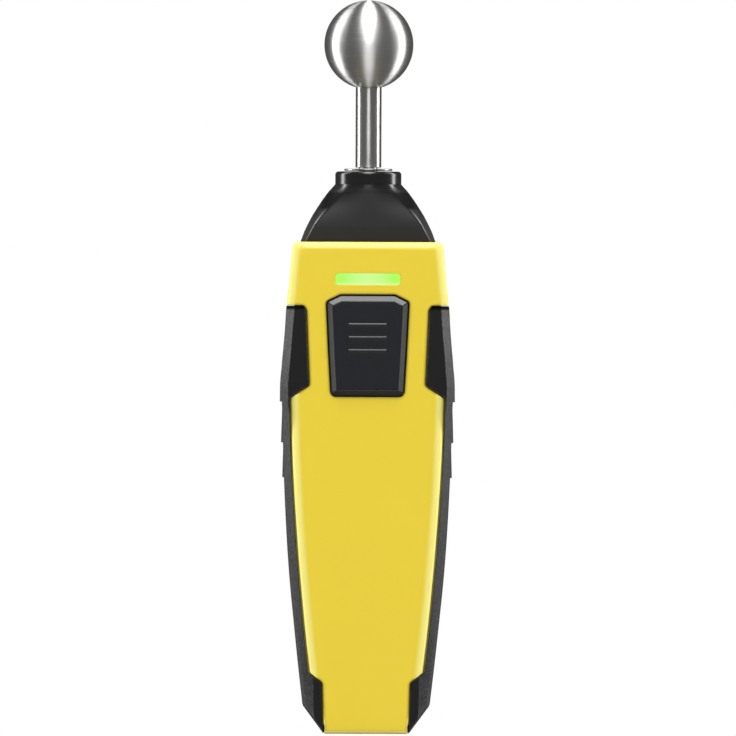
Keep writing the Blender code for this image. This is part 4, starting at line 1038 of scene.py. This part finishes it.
# ------------------------------------------------------------------ grips
GRIP_Z = merged(
    steps(0.35, 16.0, 0.55) + steps(16.0, 85.0, 1.0) + steps(85.0, 90.0, 0.4)
    + steps(90.0, 107.0, 0.9) + [107.4, 107.7, 107.9, 108.1, 108.4, 108.6]
    + [z for low, high, _ in RIDGES
       for z in (low - 0.03, low, low + 0.06, low + 0.12, low + 0.25, high)])
# rounded ends of the grips: z, inward pull
GRIP_BOTTOM = ((0.14, 0.07), (0.22, 0.02))
GRIP_TOP = ((108.75, 0.03), (108.86, 0.07), (108.95, 0.14), (109.0, 0.22))


def grip_ring(z, side, pull=0.0, z_at=None):
    """Section of a grip at height z, laid at z_at if given; side is -1 (left) or 1 (right)."""
    outer_x, wall_x = grip_half(z), wall_half(z) + GAP
    shoulder_y = grip_shoulder_y = lerp(GRIP_SHOULDER, z)
    flat_x = min(grip_flat_end(z), outer_x - 0.3)
    inner_x = min(grip_inner_edge(z), wall_x - 0.05)
    face_y = RIM_Y
    # where the cover hides the flat front, the slanted side facet starts lower down
    least_flat = inner_x + 0.12
    if flat_x < least_flat:
        slope = (least_flat - flat_x) / (outer_x - flat_x)
        face_y = min(-10.8, RIM_Y + slope * (shoulder_y - RIM_Y))
        flat_x = least_flat
    step_y = lerp(GRIP_STEP, z)
    back_inner_x = rim_half(z) - 0.05
    back_flat_x = min(max(flat_x, back_inner_x + 0.9), outer_x - 0.3)
    corners = [
        (inner_x, face_y), (inner_x, step_y), (wall_x, step_y), (wall_x, 8.6),
        (back_inner_x, 8.6), (back_inner_x, BACK_RIM_Y), (back_flat_x, BACK_RIM_Y),
        (outer_x, 6.6), (outer_x, shoulder_y), (flat_x, face_y)]
    arc = 6
    ring = fillet(corners, [0.30, 0.08, 0.08, 0.08, 0.08, 0.3, 1.2, 2.4, 2.4, 0.45], arc)
    # the flat side between the arcs of corners 7 and 8 gets points for the ridges
    cut = 8 * arc
    (x0, y0), (x1, y1) = ring[cut - 1], ring[cut]
    flat = [(x0 + (x1 - x0) * k / 28, y0 + (y1 - y0) * k / 28) for k in range(1, 28)]
    ring = ring[:cut] + flat + ring[cut:]
    ridge = 0.0
    for low, high, height in RIDGES:
        if low <= z <= high:
            ridge = height * min((high - z) / (high - low), (z - low) / 0.12)
    out = []
    for x, y in ring:
        if x > outer_x - 0.6:
            x += ridge * smoothstep(-6.5, -5.9, y) * (1 - smoothstep(5.5, 6.1, y))
        out.append((x, y))
    if pull:
        out = inset(out, pull)
    ring_z = z if z_at is None else z_at
    return [(side * x, y, ring_z) for x, y in out]


def build_grips():
    for side, tag in ((-1, "left"), (1, "right")):
        rings = [grip_ring(GRIP_Z[0], side, pull, z) for z, pull in GRIP_BOTTOM]
        rings += [grip_ring(z, side) for z in GRIP_Z]
        rings += [grip_ring(min(z, 108.5), side, pull, z) for z, pull in GRIP_TOP]
        grip = finish_mesh(f"{tag}_side_grip", loft(rings), 38.0)
        place(grip, "grip_soft_touch", "housing", f"{tag}_grip", "grip_rubber")


# ------------------------------------------------------------------ nose
def build_nose():
    """Tapering nose with a spigot inside the covers and a round collar at the top."""
    rings = [nose_ring(HOUSING_TOP, scale=0.985, z_at=z) for z in (118.9, 121.3)]
    rings += [nose_ring(HOUSING_TOP, z_at=z) for z in (121.5, 123.5)]
    rings += [nose_ring(z) for z in steps(HOUSING_TOP, COLLAR_BASE, 0.37)]
    nose = finish_mesh("nose_moulding", loft(rings))

    radius, shoulder, rounding = 8.43, 142.5, 0.8
    collar = [(0, 136.6), (7.4, 136.6), (7.4, 139.3), (radius, 140.0), (radius, shoulder)]
    for k in range(1, 8):
        angle = radians(90 * k / 7)
        collar.append((radius - rounding * (1 - cos(angle)), shoulder + rounding * sin(angle)))
    collar.append((0, 143.3))

    # inside: z, scale of the section there
    hollow = [nose_ring(HOUSING_TOP, scale=0.86, z_at=z) for z in (117.5, 124.0)]
    hollow += [nose_ring(z, scale=scale) for z, scale in
               ((128.0, 0.84), (131.0, 0.82), (134.0, 0.78), (136.4, 0.74))]
    lug_x, lug_z = (-6.0, 6.0), (118.95, 120.6)
    carve(nose, [
        (ADD, turned(collar, 128)),
        (CUT, loft(hollow)),
        (ADD, join(box(lug_x, (-10.3, -8.9), lug_z), box(lug_x, (8.9, 10.3), lug_z))),
        (CUT, cylinder(4.2, 130.0, 150.0, 64)),
        # groove for the sealing ring
        (CUT, turned([(4.55, 142.6), (5.95, 142.6), (5.95, 144.0), (4.55, 144.0)])),
    ])
    shade(nose.data, 38)
    weighted_normals(nose, keep_sharp=True)
    place(nose, "nose_moulding_black", "housing", "nose_cone", "black_plastic")


# ------------------------------------------------------------------ electrode
def build_electrode():
    """Ball, the rod that carries it, the flange disc and the sealing ring."""
    ball_bottom = BALL_Z - sqrt(BALL_RADIUS**2 - BALL_NECK**2)
    arc_end = pi - asin_ratio(BALL_NECK, BALL_RADIUS)
    profile = [(0, BALL_Z + BALL_RADIUS)]
    for k in range(1, 73):
        angle = arc_end * k / 72
        profile.append((BALL_RADIUS * sin(angle), BALL_Z + BALL_RADIUS * cos(angle)))
    profile += [(3.45, ball_bottom + 0.1), (2.7, ball_bottom + 0.1), (2.7, BALL_Z - 3.0),
                (0, BALL_Z - 3.0)]
    ball = finish_mesh("brushed_ball", turned(profile, 160), 50)
    place(ball, "brushed_stainless", "housing", "ball_electrode", "brushed_steel")

    thin, thick, collar_z, rod_top = 2.4, 3.3, 144.3, BALL_Z - 3.3
    neck_z = ball_bottom - 0.02
    profile = rounded_profile(
        [(0, 129.2), (thin, 129.2), (thin, collar_z), (thick, collar_z), (thick, neck_z),
         (thin, neck_z), (thin, rod_top), (0, rod_top)],
        [0, 0.35, 0.05, 0.2, 0.15, 0.05, 0.2, 0])
    rod = finish_mesh("electrode_shaft", turned(profile), 40)
    place(rod, "drawn_stainless", "housing", "electrode_rod", "brushed_steel")

    low, high = 143.48, 144.0
    profile = rounded_profile([(2.7, low), (6.15, low), (6.15, high), (2.7, high)],
                              [0.06, 0.14, 0.2, 0.1])
    disc = finish_mesh("flange_disc", turned(profile), 40)
    place(disc, "turned_disc", "housing", "flange_washer", "brushed_steel")

    profile = [(5.25 + 0.49 * cos(radians(a)), 143.03 + 0.3 * sin(radians(a)))
               for a in range(0, 360, 20)]
    seal = finish_mesh("seal_o_ring", turned(profile), None)
    place(seal, "seal_nitrile", "housing", "sealing_ring", "seal_rubber")


def asin_ratio(opposite, hypotenuse):
    """Angle of a right triangle from two of its sides."""
    return atan2(opposite, sqrt(hypotenuse**2 - opposite**2))


# ------------------------------------------------------------------ key
def key_outline(distance):
    """Outline of the key moved in by distance: the sharp outline first, then its corners."""
    radius = 0.8 - 0.38 * min(distance, 1.6)
    return fillet(inset(KEY_OUTLINE, distance), key_radii(radius, radius * 0.9))


def key_rib(z):
    """Cross rib on the key's face, steep above and sloping away below."""
    top, low = z + 0.22, z - 2.5
    root_y, crest_y = KEY_FACE_Y + 0.3, KEY_FACE_Y - 0.30
    profile = [
        (root_y, top + 0.04), (KEY_FACE_Y - 0.06, top), (KEY_FACE_Y - 0.22, top - 0.12),
        (crest_y, top - 0.26), (crest_y, top - 0.36), (KEY_FACE_Y - 0.24, top - 0.60),
        (KEY_FACE_Y - 0.12, top - 1.5), (KEY_FACE_Y - 0.01, low), (root_y, low)]
    # x, and how much lower the crest is there
    stations = ((-4.85, 0.16), (-4.80, 0.06), (-4.68, 0.0), (4.68, 0.0), (4.80, 0.06),
                (4.85, 0.16))
    return loft([[(x, max(y, crest_y + drop) if y < KEY_FACE_Y else y, rib_z)
                  for y, rib_z in profile] for x, drop in stations])


def build_key():
    key = finish_mesh("key_cap_moulding",
                      loft([at_y(key_outline(distance), y) for distance, y in KEY_SECTION]), 38)
    carve(key, [
        (ADD, prism_y(inset(KEY_SOFT, -0.9), -10.4, -9.4)),
        (CUT, prism_y(KEY_HOLLOW, -12.3, -8.0)),
        (ADD, cylinder(2.2, -12.6, -9.8, 48, "Y", (0, 0, 99.5))),
        *[(ADD, key_rib(z)) for z in (104.35, 101.05, 97.75)],
    ])
    shade(key.data, 30)
    weighted_normals(key, keep_sharp=True)
    place(key, "key_moulding", "key", "key_cap", "key_plastic")
    return key


# ------------------------------------------------------------------ light bar
def build_window():
    """Lens with a soft front edge, a flange behind the cover's wall and a block behind that."""
    outline = rounded_rect(*BAR_HALF, 0.75, BAR_Z)
    # inset of the outline, distance behind the front face
    section = ((0.0, WALL + 0.1), (0.0, 0.14), (0.03, 0.07), (0.10, 0.03), (0.25, 0.02))
    window = finish_mesh("light_bar_lens",
                         loft([at_y(inset(outline, distance), FRONT_Y + behind)
                               for distance, behind in section]), 40)
    carve(window, [
        (ADD, prism_y(rounded_rect(7.6, 1.2, 0.4, BAR_Z, 6), -10.9, -7.2)),
        (ADD, prism_y(rounded_rect(9.6, 2.3, 0.4, BAR_Z, 6), FRONT_Y + WALL + GAP - 0.05, -9.6)),
    ])
    shade(window.data, 40)
    place(window, "light_bar", "housing", "light_window", "light_window")


# ------------------------------------------------------------------ screws and cells
def build_screw(name, cad_node, x, z, head_under, head_top, head_radius, tip, shank_radius,
                recess):
    """Cross-head screw along Y with its head towards the back."""
    core = shank_radius * 0.82
    profile = [(0, tip), (shank_radius * 0.5, tip + 0.35)]
    y, pitch = tip + 0.5, shank_radius * 0.85
    while y < head_under - 2.0:          # thread: shallow saw-tooth rings
        profile += [(shank_radius * 0.80, y), (shank_radius, y + pitch * 0.35),
                    (shank_radius, y + pitch * 0.45)]
        y += pitch
    height = head_top - head_under
    profile += [(core, y), (core, head_under), (head_radius - 0.08, head_under),
                (head_radius, head_under + 0.1), (head_radius, head_under + height * 0.45)]
    for k in range(1, 6):
        angle = radians(90 * k / 5)
        profile.append((head_radius * (0.62 + 0.38 * cos(angle)),
                        head_under + height * (0.45 + 0.55 * sin(angle))))
    profile.append((0, head_top))
    screw = finish_mesh(name, turned(profile, 32, "Y", (x, 0, z)), 35)
    narrow, wide = head_radius * 0.11, head_radius * 0.52
    carve(screw, [(CUT, box((x - half_x, x + half_x), (head_top - recess, head_top + 1),
                            (z - half_z, z + half_z)))
                  for half_x, half_z in ((wide, narrow), (narrow, wide))])
    shade(screw.data, 35)
    place(screw, "black_zinc", "housing", cad_node, "screw_steel")


def build_screws():
    housing = dict(head_under=6.5, head_top=8.2, head_radius=2.45, tip=-6.4,
                   shank_radius=0.75, recess=0.8)
    board = dict(head_under=-3.4, head_top=-2.6, head_radius=1.8, tip=-8.6,
                 shank_radius=0.5, recess=0.35)
    for kind, places, sizes in (("housing", HOUSING_SCREWS, housing),
                                ("board", BOARD_SCREWS, board)):
        for k, (x, z) in enumerate(places, 1):
            build_screw(f"{kind}_screw_black_{k}", f"{kind}_screw_{k}", x, z, **sizes)


def build_cells():
    """Two AAA cells side by side: the left one stands upright, the right one upside down."""
    radius = 5.25
    # (radius, height) from the negative end to the tip of the positive button
    corners = [
        (0, 0), (radius - 0.9, 0), (radius - 0.9, 0.3), (radius - 0.3, 0.3), (radius, 0.6),
        (radius, 42.7), (radius - 0.5, 43.3), (1.9, 43.3), (1.9, 44.5), (0, 44.5)]
    profile = rounded_profile(corners, [0, 0.2, 0.1, 0.15, 0.3, 0.5, 0.3, 0.25, 0.35, 0])
    for name, x, base, direction, material in (
            ("cell_left", -5.5, CELL_BOTTOM, 1, "cell_sleeve"),
            ("cell_right", 5.5, CELL_TOP, -1, "cell_sleeve_turned")):
        standing = [(r, base + direction * h) for r, h in profile]
        cell = finish_mesh(f"{name}_aaa", turned(standing, 72, "Z", (x, 4.5, 0)), 40)
        place(cell, material, "housing", name, "cell_wrap")


# ------------------------------------------------------------------ CAD nodes that stay
# material, edge bevel (0 rounds the whole piece by subdivision), CAD nodes
KEPT = (
    ("natural_nylon", 0.15, ["insulating_bush"]),
    ("nickel_spring", 0.25, ["rod_nut"]),
    ("tinned_sheet", 0.05, ["ring_terminal"]),
    ("red_insulation", 0, ["electrode_lead", "positive_lead"]),
    ("black_insulation", 0, ["negative_lead"]),
    ("solder_mask", 0.08, ["main_board"]),
    ("solder_mask", 0.06, ["radio_board"]),
    ("chip_epoxy", 0.12, ["switch_base", "controller_chip"]),
    ("chip_epoxy", 0.1, ["switch_plunger"]),
    ("chip_epoxy", 0.06, [f"resistor_{k}" for k in range(1, 5)]),
    ("ceramic_body", 0.08, [f"capacitor_{k}" for k in range(1, 5)]),
    ("tinned_sheet", 0.04, ["switch_cover"]),
    ("tinned_sheet", 0.1, ["radio_shield", "oscillator_shield"]),
    ("tinned_sheet", 0.25, ["crystal_can"]),
    ("led_resin", 0.1, ["status_led_left", "status_led_middle", "status_led_right"]),
    ("nickel_spring", 0.06, ["contact_bridge", "contact_negative", "contact_positive"]),
    ("nickel_spring", 0, ["lower_spring", "upper_spring"]),
)


def finish_kept_node(obj, material, width):
    for slot in obj.material_slots:
        slot.material = material
    if not obj.material_slots:
        obj.data.materials.append(material)
    weld = obj.modifiers.new("weld", "WELD")
    weld.merge_threshold = mm(0.004)
    if width:
        edge_bevel(obj, width, segments=2, angle=40)
        weighted_normals(obj)
    else:
        subdivision = obj.modifiers.new("round", "SUBSURF")
        subdivision.levels = subdivision.render_levels = 2


# ------------------------------------------------------------------ world, lights, floor, camera
WHITE = (1, 1, 1)
AIM_Z = 0.11         # height the light panels point at

# name, azimuth, elevation (degrees), distance, width, height, radiance;
# azimuth 0 is the camera's side, positive towards +X
PANELS = (
    ("front_panel", 0, 42, 1.3, 0.46, 1.15, 3.2),
    ("top_panel", 0, 80, 1.1, 0.50, 0.75, 7.5),
    ("lower_card", 0, -46, 1.0, 0.42, 0.8, 1.6),
    ("left_strip", -100, 8, 0.8, 0.20, 1.7, 6.5),
    ("right_strip", 100, 8, 0.8, 0.20, 1.7, 6.5),
)
# small panels that only reach the key and pick out its slanted sides
KEY_PANELS = (
    ("key_left_upper", -70, 63, 1.1, 0.40, 0.40, 10.5),
    ("key_right_upper", 70, 63, 1.1, 0.40, 0.40, 10.5),
    ("key_left", -82, 2, 1.0, 0.30, 0.60, 2.1),
    ("key_right", 82, 2, 1.0, 0.30, 0.60, 2.25),
)


def build_world():
    """White to the camera, an even fill for plain surfaces, a dim surround for polished ones."""
    world = bpy.data.worlds.new("studio")
    scene.world = world
    world.use_nodes = True
    graph = Graph(world.node_tree)
    ray = graph.node("ShaderNodeLightPath").outputs
    direction = graph.split(graph.node("ShaderNodeTexCoord").outputs["Generated"])
    # the surround is dimmest behind the meter
    surround = graph.remap(direction["Y"], over=(0.2, 0.85), to=(0.135, 0.085))
    plain_fill, backdrop = 0.59, 1.0
    fill = graph.mix_float(ray["Is Glossy Ray"], plain_fill, surround)
    strength = graph.mix_float(ray["Is Camera Ray"], fill, backdrop)
    graph.feed_all(graph.tree.nodes["Background"], dict(Color=WHITE, Strength=strength))


def panel(name, azimuth, elevation, distance, width, height, radiance):
    """Soft rectangular light, hidden from the camera."""
    turn, rise = radians(azimuth), radians(elevation)
    at = (distance * sin(turn) * cos(rise), -distance * cos(turn) * cos(rise),
          AIM_Z + distance * sin(rise))
    data = bpy.data.lights.new(name, "AREA")
    data.shape = "RECTANGLE"
    data.size, data.size_y = width, height
    data.energy = radiance * width * height * pi
    lamp = bpy.data.objects.new(name, data)
    scene.collection.objects.link(lamp)
    lamp.location = at
    lamp.visible_camera = False
    aim = Vector((0, 0, AIM_Z)) - Vector(at)
    lamp.rotation_euler = aim.to_track_quat("-Z", "Y").to_euler()
    return lamp


def build_lights(key):
    for row in PANELS:
        panel(*row)
    on_key = bpy.data.collections.new("key_only")
    on_key.objects.link(key)
    for lamp in [panel(*row) for row in KEY_PANELS]:
        lamp.light_linking.receiver_collection = on_key


def floor_material():
    """White to the camera, pale to plain surfaces, clear to glossy and shadow rays."""
    look = Look("pale_floor")
    look.surface(Base_Color=(0.36, 0.36, 0.36), Roughness=0.9, Specular_IOR_Level=0.1)
    glow = look.node("ShaderNodeEmission", Color=WHITE, Strength=1.0)
    clear = look.node("ShaderNodeBsdfTransparent")
    ray = look.node("ShaderNodeLightPath").outputs
    through = look.math("MAXIMUM", ray["Is Glossy Ray"], ray["Is Shadow Ray"])
    shader = look.mix_shader(through, look.bsdf.outputs[0], clear.outputs[0])
    shader = look.mix_shader(ray["Is Camera Ray"], shader, glow.outputs[0])
    look.feed(look.tree.nodes["Material Output"].inputs["Surface"], shader)
    return look.material


def build_floor():
    mesh = bpy.data.meshes.new("floor")
    bm = bmesh.new()
    bmesh.ops.create_grid(bm, x_segments=2, y_segments=2, size=3.0)
    bm.to_mesh(mesh)
    bm.free()
    floor = bpy.data.objects.new("floor", mesh)
    scene.collection.objects.link(floor)
    floor.location = (0, 0, -0.0003)
    dress(floor, floor_material())


def build_camera():
    """Very long lens straight at the front, rolled by a quarter of a degree."""
    view_width, lens, sensor = 0.18768, 1500.0, 36.0     # metres across the view; lens in mm
    data = bpy.data.cameras.new("camera")
    data.lens = lens
    data.sensor_width = sensor
    data.clip_end = 50.0
    camera = bpy.data.objects.new("camera", data)
    scene.collection.objects.link(camera)
    camera.location = (0.00013, -view_width * lens / sensor, 0.0932)
    level = Matrix.Rotation(radians(90), 3, "X")
    roll = Matrix.Rotation(radians(0.25), 3, "Z")
    camera.rotation_euler = (level @ roll).to_euler()
    scene.camera = camera
    scene.view_settings.view_transform = "Standard"
    scene.view_settings.look = "None"


# ------------------------------------------------------------------ build
build_front_cover()
build_rear_cover()
build_door()
build_grips()
build_nose()
build_electrode()
key_cap = build_key()
build_window()
build_screws()
build_cells()
for material_name, bevel_width, node_names in KEPT:
    for node_name in node_names:
        finish_kept_node(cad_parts[node_name], MATERIALS[material_name], bevel_width)
build_world()
build_lights(key_cap)
build_floor()
build_camera()
